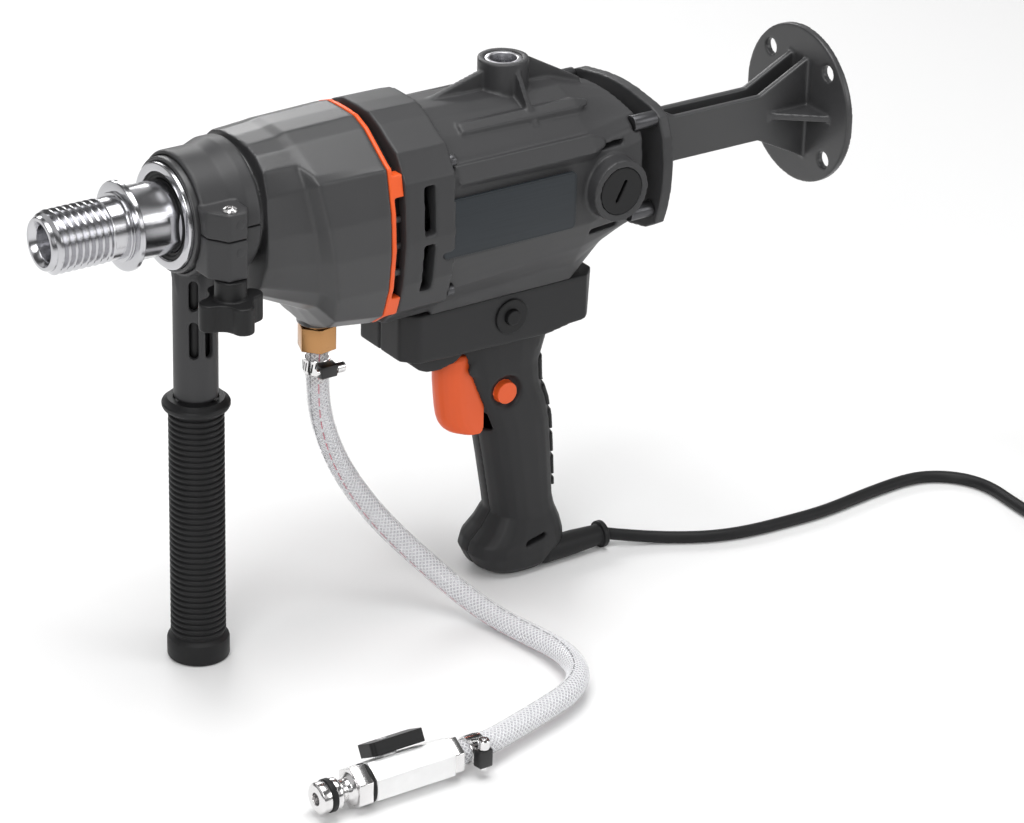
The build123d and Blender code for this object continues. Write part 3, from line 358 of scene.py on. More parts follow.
def from_bmesh(name, shape, smooth_angle=35):
    """Turn a bmesh into an object with smooth faces and creases at sharp edges."""
    bmesh.ops.remove_doubles(shape, verts=shape.verts, dist=1e-6)
    bmesh.ops.recalc_face_normals(shape, faces=shape.faces)
    mesh = bpy.data.meshes.new(name)
    shape.to_mesh(mesh)
    shape.free()
    crease(mesh, smooth_angle)
    return link(name, mesh)


def crease(mesh, angle):
    mesh.shade_smooth()
    mesh.set_sharp_from_angle(angle=math.radians(angle))


def settled(piece, name=None):
    """Apply a piece's modifiers and leave a plain mesh object at the origin."""
    graph = bpy.context.evaluated_depsgraph_get()
    mesh = bpy.data.meshes.new_from_object(piece.evaluated_get(graph))
    name = name or piece.name
    old = piece.data
    bpy.data.objects.remove(piece)
    if old.users == 0 and isinstance(old, bpy.types.Mesh):
        bpy.data.meshes.remove(old)
    mesh.name = name
    return link(name, mesh)


def modifier(piece, kind, **settings):
    made = piece.modifiers.new(kind.lower(), kind)
    for name, value in settings.items():
        setattr(made, name, value)
    return made


def keep(piece, material, slot, body, *replaced):
    """Paint a finished piece, let it ride on a body, and hide the CAD nodes it stands for."""
    piece.data.materials.clear()
    piece.data.materials.append(materials[material])
    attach(piece, body)
    if replaced:
        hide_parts(*replaced)
    return piece


def merged(node):
    """A merged copy of a CAD node's mesh, with degenerate edges and faces dissolved."""
    shape = bmesh.new()
    shape.from_mesh(nodes[node].data)
    bmesh.ops.remove_doubles(shape, verts=shape.verts, dist=2e-6)
    bmesh.ops.dissolve_degenerate(shape, dist=1e-7, edges=shape.edges)
    return shape


def moulded(node, material, slot, voxel_mm, rounds, added=(), cut=(), faces_kept=1.0):
    """Recast a CAD shape, with added ribs and cut pockets, as one moulding with rounded edges."""
    shape = merged(node)
    for extra in added:
        shape.from_mesh(extra.data)
        bpy.data.objects.remove(extra)
    name = node + "_moulding"
    mesh = bpy.data.meshes.new(name)
    shape.to_mesh(mesh)
    shape.free()
    piece = link(name, mesh)
    for tool in cut:
        modifier(piece, "BOOLEAN", operation="DIFFERENCE", object=tool, solver="EXACT", use_self=bool(added))
    if cut:
        piece = settled(piece, name)
        for tool in cut:
            bpy.data.objects.remove(tool)
    return keep(recast(piece, voxel_mm, rounds, faces_kept), material, slot, body_of_node[node], node)


def recast(piece, voxel_mm, rounds, faces_kept=1.0):
    """Merge overlapping shapes into one skin and soften its edges; a large skin is thinned where it is flat."""
    name = piece.name
    modifier(piece, "REMESH", mode="VOXEL", voxel_size=voxel_mm * mm)
    modifier(piece, "SMOOTH", factor=0.5, iterations=rounds)
    if faces_kept < 1:
        modifier(piece, "DECIMATE", ratio=faces_kept)
    piece = settled(piece, name)
    crease(piece.data, 50)
    return piece


def machined(node, material, slot, width_mm):
    """A CAD shape with small, even edge breaks, as cutting tools leave them."""
    sharp = math.radians(28)
    share_of_edge = 0.42
    nearly_in_line = 0.82
    shape = merged(node)
    bmesh.ops.dissolve_limit(
        shape, angle_limit=math.radians(0.5), verts=shape.verts, edges=shape.edges,
        use_dissolve_boundaries=False,
    )
    name = node + "_machined"
    weights = shape.edges.layers.float.new("bevel_weight_edge")
    for edge in shape.edges:
        if len(edge.link_faces) != 2 or edge.calc_face_angle(0) < sharp:
            continue
        reach = [width_mm * mm / share_of_edge]
        for corner in edge.verts:
            for other in corner.link_edges:
                if other is edge:
                    continue
                one = (edge.other_vert(corner).co - corner.co).normalized()
                two = (other.other_vert(corner).co - corner.co).normalized()
                if abs(one.dot(two)) < nearly_in_line:
                    reach.append(other.calc_length())
        edge[weights] = min(1.0, share_of_edge * min(reach) / (width_mm * mm))
    mesh = bpy.data.meshes.new(name)
    shape.to_mesh(mesh)
    shape.free()
    piece = link(name, mesh)
    modifier(piece, "BEVEL", limit_method="WEIGHT", width=width_mm * mm, segments=3, use_clamp_overlap=False)
    piece = settled(piece, name)
    crease(piece.data, 30)
    return keep(piece, material, slot, body_of_node[node], node)


def lathed(name, outline, centre, axis="X", turns=96):
    """Spin a closed (along, radius) outline in millimetres round an axis through centre."""
    shape = bmesh.new()
    rings = []
    for along, radius in outline:
        ring = []
        for step in range(turns):
            angle = 2 * math.pi * step / turns
            flat = (radius * math.cos(angle), radius * math.sin(angle))
            point = {"X": (along, *flat), "Y": (flat[1], along, flat[0]), "Z": (*flat, along)}[axis]
            ring.append(shape.verts.new(Vector(point) * mm + centre))
        rings.append(ring)
    for here, there in zip(rings, rings[1:] + rings[:1]):
        for step in range(turns):
            after = (step + 1) % turns
            shape.faces.new((here[step], here[after], there[after], there[step]))
    return from_bmesh(name, shape, 30)


def prism(name, outline_mm, start_mm, end_mm, axis="X", taper_mm=0.0):
    """Extrude a closed outline along an axis; the far end may be drawn in towards its middle."""
    shape = bmesh.new()
    centre = [sum(point[side] for point in outline_mm) / len(outline_mm) for side in (0, 1)]
    rings = []
    for along, shrink in ((start_mm, 1.0), (end_mm - taper_mm, 1.0), (end_mm, 0.35 if taper_mm else 1.0)):
        ring = []
        for point in outline_mm:
            one, two = (core + (value - core) * shrink for value, core in zip(point, centre))
            spot = {"X": (along, one, two), "Y": (one, along, two), "Z": (one, two, along)}[axis]
            ring.append(shape.verts.new(Vector(spot) * mm))
        rings.append(ring)
    for here, there in zip(rings, rings[1:]):
        for step, corner in enumerate(here):
            after = (step + 1) % len(here)
            if (corner.co - there[step].co).length > 1e-7:
                shape.faces.new((corner, here[after], there[after], there[step]))
    shape.faces.new(list(reversed(rings[0])))
    shape.faces.new(rings[-1])
    return from_bmesh(name, shape)


# ------------------------------------------------------------------ geometry node trees
def repeating_tree(name, around):
    """A tree that repeats a shape along a line, or around a circle, and sets its material."""
    tree = bpy.data.node_groups.new(name, "GeometryNodeTree")
    side = tree.interface
    side.new_socket("Geometry", in_out="OUTPUT", socket_type="NodeSocketGeometry")
    side.new_socket("Shape", in_out="INPUT", socket_type="NodeSocketObject")
    side.new_socket("Count", in_out="INPUT", socket_type="NodeSocketInt")
    side.new_socket("Start", in_out="INPUT", socket_type="NodeSocketVector")
    side.new_socket("Step", in_out="INPUT", socket_type="NodeSocketVector")
    side.new_socket("Finish", in_out="INPUT", socket_type="NodeSocketMaterial")
    given = tree.nodes.new("NodeGroupInput")
    result = tree.nodes.new("NodeGroupOutput")
    shape = tree.nodes.new("GeometryNodeObjectInfo")
    points = tree.nodes.new("GeometryNodeMeshLine")
    instances = tree.nodes.new("GeometryNodeInstanceOnPoints")
    real = tree.nodes.new("GeometryNodeRealizeInstances")
    painted = tree.nodes.new("GeometryNodeSetMaterial")
    tree.links.new(given.outputs["Shape"], shape.inputs["Object"])
    tree.links.new(given.outputs["Count"], points.inputs["Count"])
    if around:
        number = tree.nodes.new("GeometryNodeInputIndex")
        angle = tree.nodes.new("ShaderNodeVectorMath")
        angle.operation = "SCALE"
        tree.links.new(given.outputs["Step"], angle.inputs[0])
        tree.links.new(number.outputs[0], angle.inputs["Scale"])
        points.inputs["Offset"].default_value = (0, 0, 0)
        tree.links.new(angle.outputs[0], instances.inputs["Rotation"])
    else:
        tree.links.new(given.outputs["Step"], points.inputs["Offset"])
    tree.links.new(given.outputs["Start"], points.inputs["Start Location"])
    tree.links.new(points.outputs["Mesh"], instances.inputs["Points"])
    tree.links.new(shape.outputs["Geometry"], instances.inputs["Instance"])
    tree.links.new(instances.outputs["Instances"], real.inputs["Geometry"])
    tree.links.new(real.outputs["Geometry"], painted.inputs["Geometry"])
    tree.links.new(given.outputs["Finish"], painted.inputs["Material"])
    tree.links.new(painted.outputs["Geometry"], result.inputs["Geometry"])
    return tree


row_tree = repeating_tree("row_of_shapes", around=False)
circle_tree = repeating_tree("circle_of_shapes", around=True)


def repeated(name, tree, shape, count, start, step, material):
    """Run a repeating tree and return its result as one plain mesh; the shape is used up."""
    piece = link(name, bpy.data.meshes.new(name))
    made = piece.modifiers.new("repeat", "NODES")
    made.node_group = tree
    values = {"Shape": shape, "Count": count, "Start": start, "Step": step, "Finish": materials[material]}
    for socket in tree.interface.items_tree:
        if socket.in_out == "INPUT":
            made[socket.identifier] = values[socket.name]
    piece = settled(piece, name)
    bpy.data.objects.remove(shape)
    return piece


# ------------------------------------------------------------------ cords
hose_radius_mm = 6.25
cable_radius_mm = 3.25
hose_route = [
    (-75, 0, 155), (-75, 0, 138), (-70.5, 3.5, 113), (-61, 6, 89), (-49, 5.5, 66.5), (-35, -1.5, 45),
    (-20.5, -14.5, 27), (-9.5, -33, 13.5), (-2.5, -56, 6.6), (1.8, -80, 6.3), (5.2, -103, 7.5),
    (2.6, -122, 9), (-5.5, -139, 10.5), (-20, -151.2, 11.3), (-40, -158, 11.2), (-62, -164, 10.6),
    (-84, -170.5, 11), (-100.5, -170.5, 11),
]
cable_route = [
    (99.5, -12.1, 7.5), (119.5, -20.5, 3.4), (146.6, -37.8, 3.25), (169.4, -45.0, 3.25),
    (195.7, -47.3, 3.25), (224.0, -48.4, 3.25), (256.7, -43.7, 3.25), (288.5, -41.5, 3.25),
    (304.0, -47.0, 3.25), (315.8, -58.5, 3.25), (321.0, -74.5, 3.25), (319.0, -97.0, 3.25),
]


def smooth_line(route_mm, name="line", resolution=10):
    """A NURBS spline with the route's points as its control points, as a curve object."""
    curve = bpy.data.curves.new(name, "CURVE")
    curve.dimensions = "3D"
    curve.resolution_u = resolution
    spline = curve.splines.new("NURBS")
    spline.points.add(len(route_mm) - 1)
    for point, place in zip(spline.points, route_mm):
        point.co = (*(Vector(place) * mm), 1)
    spline.order_u = 3
    spline.use_endpoint_u = True
    return link(name, curve)


def line_points(route_mm):
    """Points along a route's smooth line."""
    line = smooth_line(route_mm)
    graph = bpy.context.evaluated_depsgraph_get()
    mesh = bpy.data.meshes.new_from_object(line.evaluated_get(graph))
    points = [vertex.co.copy() for vertex in mesh.vertices]
    bpy.data.objects.remove(line)
    bpy.data.meshes.remove(mesh)
    return points


def frames_along(points):
    """Arc length and a twist-free pair of cross directions at each point."""
    found = []
    length = 0.0
    side = None
    for number, point in enumerate(points):
        before = points[max(number - 1, 0)]
        after = points[min(number + 1, len(points) - 1)]
        ahead = (after - before).normalized()
        if side is None:
            side = ahead.cross(Vector((0, 1, 0.2))).normalized()
        side = (side - ahead * side.dot(ahead)).normalized()
        if number:
            length += (point - points[number - 1]).length
        found.append((point, length, side, ahead.cross(side)))
    return found


def at_angle(station, angle, radius):
    point, _, side, other = station
    return point + (side * math.cos(angle) + other * math.sin(angle)) * radius


def pipe(name, stations, radius, sides=32):
    """A tube with closed ends along stations."""
    shape = bmesh.new()
    rings = []
    angles = [2 * math.pi * step / sides for step in range(sides)]
    for station in stations:
        rings.append([shape.verts.new(at_angle(station, angle, radius)) for angle in angles])
    for here, there in zip(rings, rings[1:]):
        for step in range(sides):
            after = (step + 1) % sides
            shape.faces.new((here[step], here[after], there[after], there[step]))
    shape.faces.new(list(reversed(rings[0])))
    shape.faces.new(rings[-1])
    return from_bmesh(name, shape, 60)


def water_hose():
    """Clear hose: milky liner, crossed white yarns, two coloured tracers and a clear outer wall."""
    points = line_points(hose_route)
    stations = frames_along(points)
    wall = pipe("hose_wall", stations, hose_radius_mm * mm)
    liner = pipe("hose_liner", stations, 5.2 * mm)
    yarns_each_way = 12
    lead = 30 * mm
    half_yarn_angle = 0.085
    braid_radius_mm = 5.45
    yarn_height_mm = 0.28
    layer_gap_mm = 0.12
    shape = bmesh.new()
    for way in (-1, 1):
        for number in range(yarns_each_way):
            start = 2 * math.pi * number / yarns_each_way
            row = None
            for station in stations:
                angle = start + way * 2 * math.pi * station[1] / lead
                radius = braid_radius_mm + layer_gap_mm * way
                corners = [
                    shape.verts.new(at_angle(station, angle - half_yarn_angle, radius * mm)),
                    shape.verts.new(at_angle(station, angle, (radius + yarn_height_mm) * mm)),
                    shape.verts.new(at_angle(station, angle + half_yarn_angle, radius * mm)),
                ]
                if row:
                    shape.faces.new((row[0], row[1], corners[1], corners[0]))
                    shape.faces.new((row[1], row[2], corners[2], corners[1]))
                    shape.faces.new((row[2], row[0], corners[0], corners[2]))
                else:
                    shape.faces.new(corners)
                row = corners
            shape.faces.new(list(reversed(row)))
    braid = from_bmesh("hose_braid", shape, 80)
    keep(wall, "clear_wall", "clear_hose", "drill_body", "water_hose")
    keep(liner, "hose_liner", "clear_hose", "drill_body")
    keep(braid, "braid_yarn", "clear_hose", "drill_body")
    tracers = []
    for name, start, dash in (("crimson", 1.9, 3), ("grey", -0.5, 4), ("grey", 2.7, 4)):
        shape = bmesh.new()
        for number in range(0, len(stations) - dash, dash):
            pair = []
            for station in (stations[number], stations[number + dash // 2 + 1]):
                angle = start + 2.2 * station[1] / 0.38
                pair.append([
                    shape.verts.new(at_angle(station, angle + across, (5.85 + up) * mm))
                    for across, up in ((-0.05, 0), (0, 0.12), (0.05, 0))
                ])
            near, far = pair
            shape.faces.new(near)
            shape.faces.new(list(reversed(far)))
            for step in range(3):
                after = (step + 1) % 3
                shape.faces.new((near[step], near[after], far[after], far[step]))
        tracer = from_bmesh(f"hose_tracer_{name}_{len(tracers)}", shape, 80)
        tracers.append(keep(tracer, "tracer_" + name, "clear_hose", "drill_body"))
    return wall, points, stations[-1][1], [liner, braid, *tracers]


coil_middle_mm = Vector((361.5, -150, 0))
coil_radii_mm = [48.75, 42.25, 35.75, 29.25]
coil_points_a_turn = 16
coil_first_turn = 150 / 360
coil_last_turn = 11.0
plug_turn = 10.2
plug_turn_length = 0.38
plug_radius_mm = 39.0
plug_end = [(400.5, -134, 17.2), (400.5, -112, 18.5)]


def coiled_route():
    """The cable's whole route: across the floor, round its coil in three layers, to the plug."""
    route = list(cable_route)
    all_turns = coil_last_turn - coil_first_turn
    stretch = 1 / math.cos(math.pi / coil_points_a_turn)
    count = round(all_turns * coil_points_a_turn)
    for number in range(count + 1):
        turned = coil_first_turn + all_turns * number / count
        done = turned - coil_first_turn
        layer, lane = divmod(min(done, 10.999), 4)
        lane_place = min(lane, 3) if int(layer) % 2 == 0 else 3 - min(lane, 3)
        whole = int(lane_place)
        share = lane_place - whole
        ease = share * share * (3 - 2 * share)
        low_lane = coil_radii_mm[whole]
        high_lane = coil_radii_mm[min(whole + 1, 3)]
        radius = (low_lane + (high_lane - low_lane) * ease) * stretch
        height = cable_radius_mm * (1 + 2 * int(layer))
        if done > plug_turn:
            out = min(1.0, (done - plug_turn) / plug_turn_length)
            radius += (plug_radius_mm - radius) * out
        angle = 2 * math.pi * turned
        spot = coil_middle_mm + Vector((radius * math.cos(angle), radius * math.sin(angle), height))
        route.append(tuple(spot))
    return route + plug_end


def power_cable():
    """Black cable as one smooth line with its coil."""
    cable = smooth_line(coiled_route(), "cable", 5)
    cable.data.bevel_depth = cable_radius_mm * mm
    cable.data.bevel_resolution = 4
    cable.data.use_fill_caps = True
    keep(cable, "black_rubber", "black_rubber", "drill_body", "power_cable", "cable_coil")
    thin = smooth_line(coiled_route(), "thin", 5)
    mesh = bpy.data.meshes.new_from_object(thin.evaluated_get(bpy.context.evaluated_depsgraph_get()))
    spots = [vertex.co.copy() for vertex in mesh.vertices]
    bpy.data.objects.remove(thin)
    length = sum((b - a).length for a, b in zip(spots, spots[1:]))
    return cable, length


# ------------------------------------------------------------------ spindle
def threaded_spindle():
    """Spindle with a true helical thread, a shoulder, a pair of flats and an open bore."""
    pitch = 25.4 / 7
    crest_radius = 15.875
    depth = 0.61 * pitch
    start = -228.6
    end = -197.5
    steps = 96
    shank_radius = 15.6
    run_out = 1.5
    lead_in_slope = 1.1
    crest_share = 0.14
    root_share = 0.22
    flank_share = (1 - crest_share - root_share) / 2

    def thread_radius(along, angle):
        phase = ((along - start) / pitch - angle / (2 * math.pi)) % 1.0
        if phase < crest_share:
            drop = 0.0
        elif phase < crest_share + flank_share:
            drop = (phase - crest_share) / flank_share
        elif phase < crest_share + flank_share + root_share:
            drop = 1.0
        else:
            drop = (1 - phase) / flank_share
        radius = crest_radius - depth * drop
        lead_in = crest_radius - depth + (along - start) * lead_in_slope
        if end - along < run_out:
            radius += (shank_radius - radius) * (1 - (end - along) / run_out)
        return min(radius, lead_in)

    stops = [0, crest_share, crest_share + flank_share * 0.5, crest_share + flank_share,
             crest_share + flank_share + root_share, 1 - flank_share * 0.5]
    turns = int((end - start) / pitch) + 2
    rows = [turn + stop for turn in range(-1, turns) for stop in stops]
    shape = bmesh.new()
    grid = []
    for row in rows:
        ring = []
        for step in range(steps + 1):
            angle = 2 * math.pi * step / steps
            along = min(max(start + pitch * (row + step / steps), start), end)
            radius = thread_radius(along, angle % (2 * math.pi))
            spot = Vector((along, radius * math.cos(angle), radius * math.sin(angle))) * mm
            ring.append(shape.verts.new(spot + Vector((0, 0, spindle_axis_z))))
        grid.append(ring)
    for here, there in zip(grid, grid[1:]):
        for step in range(steps):
            corners = (here[step], here[step + 1], there[step + 1], there[step])
            if (corners[0].co - corners[3].co).length + (corners[1].co - corners[2].co).length > 1e-7:
                shape.faces.new(corners)
    thread = from_bmesh("spindle_thread", shape, 22)
    outline = [
        (start, crest_radius - depth), (-230.1, 13.2), (-230.5, 12.8), (-230.5, 11.4), (-230.1, 11.0),
        (-227.6, 9.2), (-227.0, 9.0), (-114, 9.0), (-110, 5.2), (-69.6, 5.2), (-69.6, 14), (-88.9, 14),
        (-89.1, 15), (-156.9, 15), (-157.1, 18.4), (-184.0, 18.5), (-184.7, 18.8), (-184.7, 21.6),
        (-184.9, 22.1), (-185.4, 22.4), (-187.2, 22.4), (-187.8, 22.1), (-188.0, 21.6), (-188.0, 17.2),
        (-188.3, 16.9), (-188.6, 17.2), (-189.6, 17.2), (-189.9, 16.9), (-190.0, 15.6), (end, 15.6),
        (end, 12.0), (start, 12.0),
    ]
    shaft = lathed("spindle_shaft", outline, Vector((0, 0, spindle_axis_z)), "X", 96)
    cutters = []
    for side in (-1, 1):
        corners = [(-169, side * 17.0), (-163, side * 17.0), (-163, side * 25), (-169, side * 25)]
        low = spindle_axis_z / mm - 15
        cutters.append(prism(f"flat_{side + 1}", corners, low, low + 30, "Z"))
        modifier(shaft, "BOOLEAN", operation="DIFFERENCE", object=cutters[-1], solver="EXACT")
    shaft = settled(shaft, "spindle_shaft")
    crease(shaft.data, 24)
    for cutter in cutters:
        bpy.data.objects.remove(cutter)
    keep(shaft, "turned_steel", "polished_steel", "spindle_body", "spindle")
    keep(thread, "turned_steel", "polished_steel", "spindle_body")


# ------------------------------------------------------------------ side handle grip
def ribbed_grip():
    """Rubber sleeve with a flared collar, close ribs and an end flange."""
    centre = Vector((handle_x, 0, 0))
    outline = [
        (0.4, 0.0), (0.0, 1.0), (0.0, 14.6), (0.5, 15.6), (1.4, 16.0), (10.0, 16.0), (11.2, 15.6),
        (12.2, 14.2), (13.0, 13.2), (137.2, 13.2), (138.6, 14.6), (140.0, 16.6), (141.2, 17.2),
        (142.6, 17.3), (143.4, 16.9), (144.4, 15.2), (145.5, 14.4), (145.5, 11.6), (143.5, 11.4),
        (143.5, 9.05), (5.5, 9.05), (5.5, 0.0),
    ]
    sleeve = lathed("side_grip_sleeve", outline, centre, "Z", 72)
    keep(sleeve, "black_rubber", "black_rubber", "side_handle", "side_grip")
    rib_count = 39
    pitch = (137.4 - 14.0) / rib_count
    rib_outline = [(-1.15, 12.9), (-0.95, 13.7), (-0.5, 14.15), (0.5, 14.15), (0.95, 13.7), (1.15, 12.9)]
    rib = lathed("rib", rib_outline, Vector((0, 0, 0)), "Z", 64)
    start = (handle_x, 0, (14.0 + pitch / 2) * mm)
    ribs = repeated("side_grip_ribs", row_tree, rib, rib_count, start, (0, 0, pitch * mm), "black_rubber")
    crease(ribs.data, 60)
    keep(ribs, "black_rubber", "black_rubber", "side_handle")


# ------------------------------------------------------------------ hose clamps
def worm_clamp(name, centre, axis, outward, width_mm, head_way):
    """Worm-drive clamp: slotted band, screw housing and a screw with a round head."""
    across = axis.cross(outward)
    turn = Matrix((outward, across, axis)).transposed().to_4x4()
    place = Matrix.Translation(centre) @ turn
    parts = []
    half = width_mm / 2
    band_outline = [
        (-half, 6.32), (-half, 7.0), (-half + 0.25, 7.15), (half - 0.25, 7.15), (half, 7.0), (half, 6.32),
    ]
    band = lathed(name + "_band", band_outline, Vector((0, 0, 0)), "Z", 72)
    slot = bmesh.new()
    bmesh.ops.create_cube(slot, size=1)
    for vertex in slot.verts:
        spot = vertex.co.copy()
        vertex.co = Vector((7.16 + spot.x * 0.1, spot.y * 0.75 + spot.z * 0.7, spot.z * width_mm * 0.6)) * mm
    slot = from_bmesh("slot", slot)
    slot_step = (0, 0, 2 * math.pi / 24)
    slots = repeated(name + "_slots", circle_tree, slot, 20, (0, 0, 0), slot_step, "black_plastic")
    slots.data.transform(Matrix.Rotation(math.radians(38), 4, "Z"))
    housing = bmesh.new()
    bmesh.ops.create_cube(housing, size=1)
    for vertex in housing.verts:
        wide = 1.0 if vertex.co.x < 0 else 0.8
        vertex.co = Vector((9.9 + vertex.co.x * 5.4, vertex.co.y * 9.4, vertex.co.z * width_mm * wide)) * mm
    housing = from_bmesh(name + "_housing", housing)
    modifier(housing, "BEVEL", width=0.0007, segments=3)
    housing = settled(housing)
    crease(housing.data, 35)
    screw_outline = [
        (-6.6, 0), (-6.6, 1.9), (5.2, 1.9), (5.2, 2.9), (9.4, 2.9),
        (9.9, 2.5), (9.9, 1.2), (9.2, 0.9), (9.2, 0),
    ]
    turned_outline = [(head_way * along, radius) for along, radius in screw_outline]
    screw = lathed(name + "_screw", turned_outline, Vector((0, 0, 0)), "Y", 32)
    screw.data.transform(Matrix.Translation(Vector((9.6 * mm, 0, 0))))
    for part, material in ((band, "nickel_plate"), (slots, "black_plastic"), (housing, "clamp_black"),
                           (screw, "nickel_plate")):
        part.data.transform(place)
        if place.determinant() < 0:
            part.data.flip_normals()
        parts.append(keep(part, material, "bright_plating", "drill_body"))
    return parts


def hose_clamps():
    inlet_centre = Vector((inlet_x, 0, 0.146))
    inlet = worm_clamp("inlet_clamp", inlet_centre, Vector((0, 0, 1)), Vector((0, -1, 0)), 8, 1)
    tail_centre = Vector((-0.0915, valve_middle.y, valve_middle.z))
    tail = worm_clamp("valve_clamp", tail_centre, Vector((1, 0, 0)), Vector((0, -1, 0)), 9, -1)
    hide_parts("hose_clamps")
    return inlet, tail


# ------------------------------------------------------------------ trigger
# height, front and rear of the finger lever at each level
trigger_levels = [
    (133.5, 1.5, 18), (131, -2.6, 19), (124, -3.4, 20.0), (117, -3.2, 20.4), (110, -2.6, 20.8),
    (103, -1.9, 21.0), (97, -0.9, 21.2), (93, 0.6, 21.2), (90, 2.6, 21.0), (88, 5.0, 20.4), (86.8, 9.0, 19.0),
]
trigger_half_width = 10.5
trigger_bow_depth = 12.0


def make_trigger():
    """Finger lever, lofted through its levels with a bowed front."""
    shape = bmesh.new()
    turns = [math.radians(angle) for angle in range(-90, 91, 15)]
    rings = []
    for height, front, rear in trigger_levels:
        depth = min(trigger_bow_depth, rear - front - 2)
        bow = [(front + depth * (1 - math.cos(turn)), trigger_half_width * math.sin(turn)) for turn in turns]
        level_outline = [(rear, -trigger_half_width), *bow, (rear, trigger_half_width)]
        rings.append([shape.verts.new(Vector((x, y, height)) * mm) for x, y in level_outline])
    for here, there in zip(rings, rings[1:]):
        for step, corner in enumerate(here):
            after = (step + 1) % len(here)
            shape.faces.new((corner, here[after], there[after], there[step]))
    shape.faces.new(rings[0])
    shape.faces.new(list(reversed(rings[-1])))
    trigger = recast(from_bmesh("trigger_moulding", shape), 0.5, 5)
    keep(trigger, "orange_plastic", "orange_plastic", "trigger_body", "trigger")


# ------------------------------------------------------------------ build the object
hose_wall, hose_line, hose_length, hose_parts = water_hose()
cable, cable_length = power_cable()
threaded_spindle()
ribbed_grip()
inlet_clamp, valve_clamp = hose_clamps()

mouldings = [
    ("gear_housing", "cast_graphite", "cast_graphite", 0.9, 4),
    ("spacer_ring", "orange_plastic", "orange_plastic", 0.55, 3),
    ("rear_plate", "graphite_plastic", "graphite_plastic", 0.8, 4),
    ("rig_spade", "cast_graphite", "cast_graphite", 0.7, 6),
    ("grip_pads", "pad_rubber", "black_rubber", 0.4, 4),
    ("lock_button", "orange_plastic", "orange_plastic", 0.3, 5),
    ("collar_upper", "graphite_plastic", "graphite_plastic", 0.6, 8),
    ("clamp_knob", "knob_plastic", "black_plastic", 0.45, 10),
    ("cable_boot", "black_rubber", "black_rubber", 0.4, 5),
    ("brush_caps", "black_plastic", "black_plastic", 0.35, 4),
    ("reset_bezel", "black_plastic", "black_plastic", 0.3, 4),
    ("reset_button", "black_rubber", "black_rubber", 0.3, 5),
    ("valve_lever", "black_plastic", "black_plastic", 0.3, 5),
    ("plug", "black_plastic", "black_plastic", 0.7, 4),
    ("shaft_seal", "black_rubber", "black_rubber", 0.3, 2),
]
for node, material, slot, voxel_mm, rounds in mouldings:
    moulded(node, material, slot, voxel_mm, rounds)

gusset = prism("gusset", [(-159.0, 222), (-155.8, 196), (-149, 196), (-149, 222)], -2.2, 2.2, "Y")
moulded("collar_lower", "graphite_plastic", "graphite_plastic", 0.6, 6, added=(gusset,))
core_outline = [(165.4, 0), (165.4, 7.3), (211, 7.3), (211, 0)]
core = lathed("handle_core", core_outline, Vector((handle_x, 0, 0)), "Z", 48)
keep(core, "black_plastic", "black_plastic", "side_handle")

make_trigger()

upper_ledge = [(-19.5, 268.9), (-23.6, 270.3), (-28.4, 266.8), (-28.2, 262.9)]
lower_ledge = [(-36.0, 255.0), (-40.4, 256.0), (-45.7, 248.0), (-43.0, 243.2)]
ledges = []
for side in (1, -1):
    for name, outline, start in (("upper_ledge", upper_ledge, -8), ("lower_ledge", lower_ledge, -20)):
        ledges.append(prism(name, [(side * y, z) for y, z in outline], start, 70, "X", 8))
# at this voxel size the whole skin would have more than 200,000 triangles
moulded("motor_housing", "graphite_plastic", "graphite_plastic", 0.8, 3, added=ledges, faces_kept=0.44)

button = middle("lock_button")
dish_outline = [(-22, 0), (-22, 11.2), (-16.2, 9.4), (-14.6, 8.6), (-13.8, 7.0), (-13.8, 0)]
dish = lathed("dish", dish_outline, Vector((button.x, 0, button.z)), "Y", 48)
strap_outline = [(43.6, 17.0), (44.2, 19.9), (56.0, 22.7), (57.4, 21.4), (56.6, 19.6)]
strap_slot = prism("strap_slot", strap_outline, -26, -14, "Y")
moulded("grip_shell_near", "grip_plastic", "graphite_plastic", 0.8, 9, cut=(dish, strap_slot))
moulded("grip_shell_far", "grip_plastic", "graphite_plastic", 0.8, 9)

# small trim: pins in the cooling gap, moulded marks on the lug, pan-head screw of the clamp
pin = prism("pin", [(-1.1, -1.6), (1.1, -1.6), (1.1, 1.6), (-1.1, 1.6)], -3.2, 3.2, "X")
modifier(pin, "BEVEL", width=0.0005, segments=2)
pin = settled(pin)
for side, name in ((-1, "near"), (1, "far")):
    stem = pin if side > 0 else link("pin_copy", pin.data.copy())
    start = (-0.0566, side * 0.0425, 0.2078)
    pins = repeated(f"gap_pins_{name}", row_tree, stem, 4, start, (0, 0, 0.0141), "cast_graphite")
    keep(pins, "cast_graphite", "cast_graphite", "drill_body")

bolt = middle("clamp_bolt")
mark_outline = [(-46.28, 0), (-46.28, 1.7), (-46.1, 2.3), (-45.6, 2.5), (-44.5, 2.5), (-44.5, 0)]
for name, height in (("upper", 254.1), ("lower", 239.8)):
    mark = lathed(f"lug_mark_{name}", mark_outline, Vector((-0.1468, 0, height * mm)), "Y", 40)
    keep(mark, "graphite_plastic", "graphite_plastic", "side_handle")
screw_outline = [
    (205, 0), (205, 2.9), (259.2, 2.9), (259.2, 3.9), (260.6, 3.9), (261.6, 3.3), (262.2, 2.0), (262.3, 0),
]
screw = lathed("clamp_screw", screw_outline, Vector((bolt.x, bolt.y, 0)), "Z", 48)
for name, across, along in (("cross_1", 0.45, 2.2), ("cross_2", 2.2, 0.45)):
    bar = [(-across, -along), (across, -along), (across, along), (-across, along)]
    tool = prism(name, [(bolt.x / mm + x, bolt.y / mm + y) for x, y in bar], 261.0, 263, "Z")
    modifier(screw, "BOOLEAN", operation="DIFFERENCE", object=tool, solver="EXACT")
screw = settled(screw)
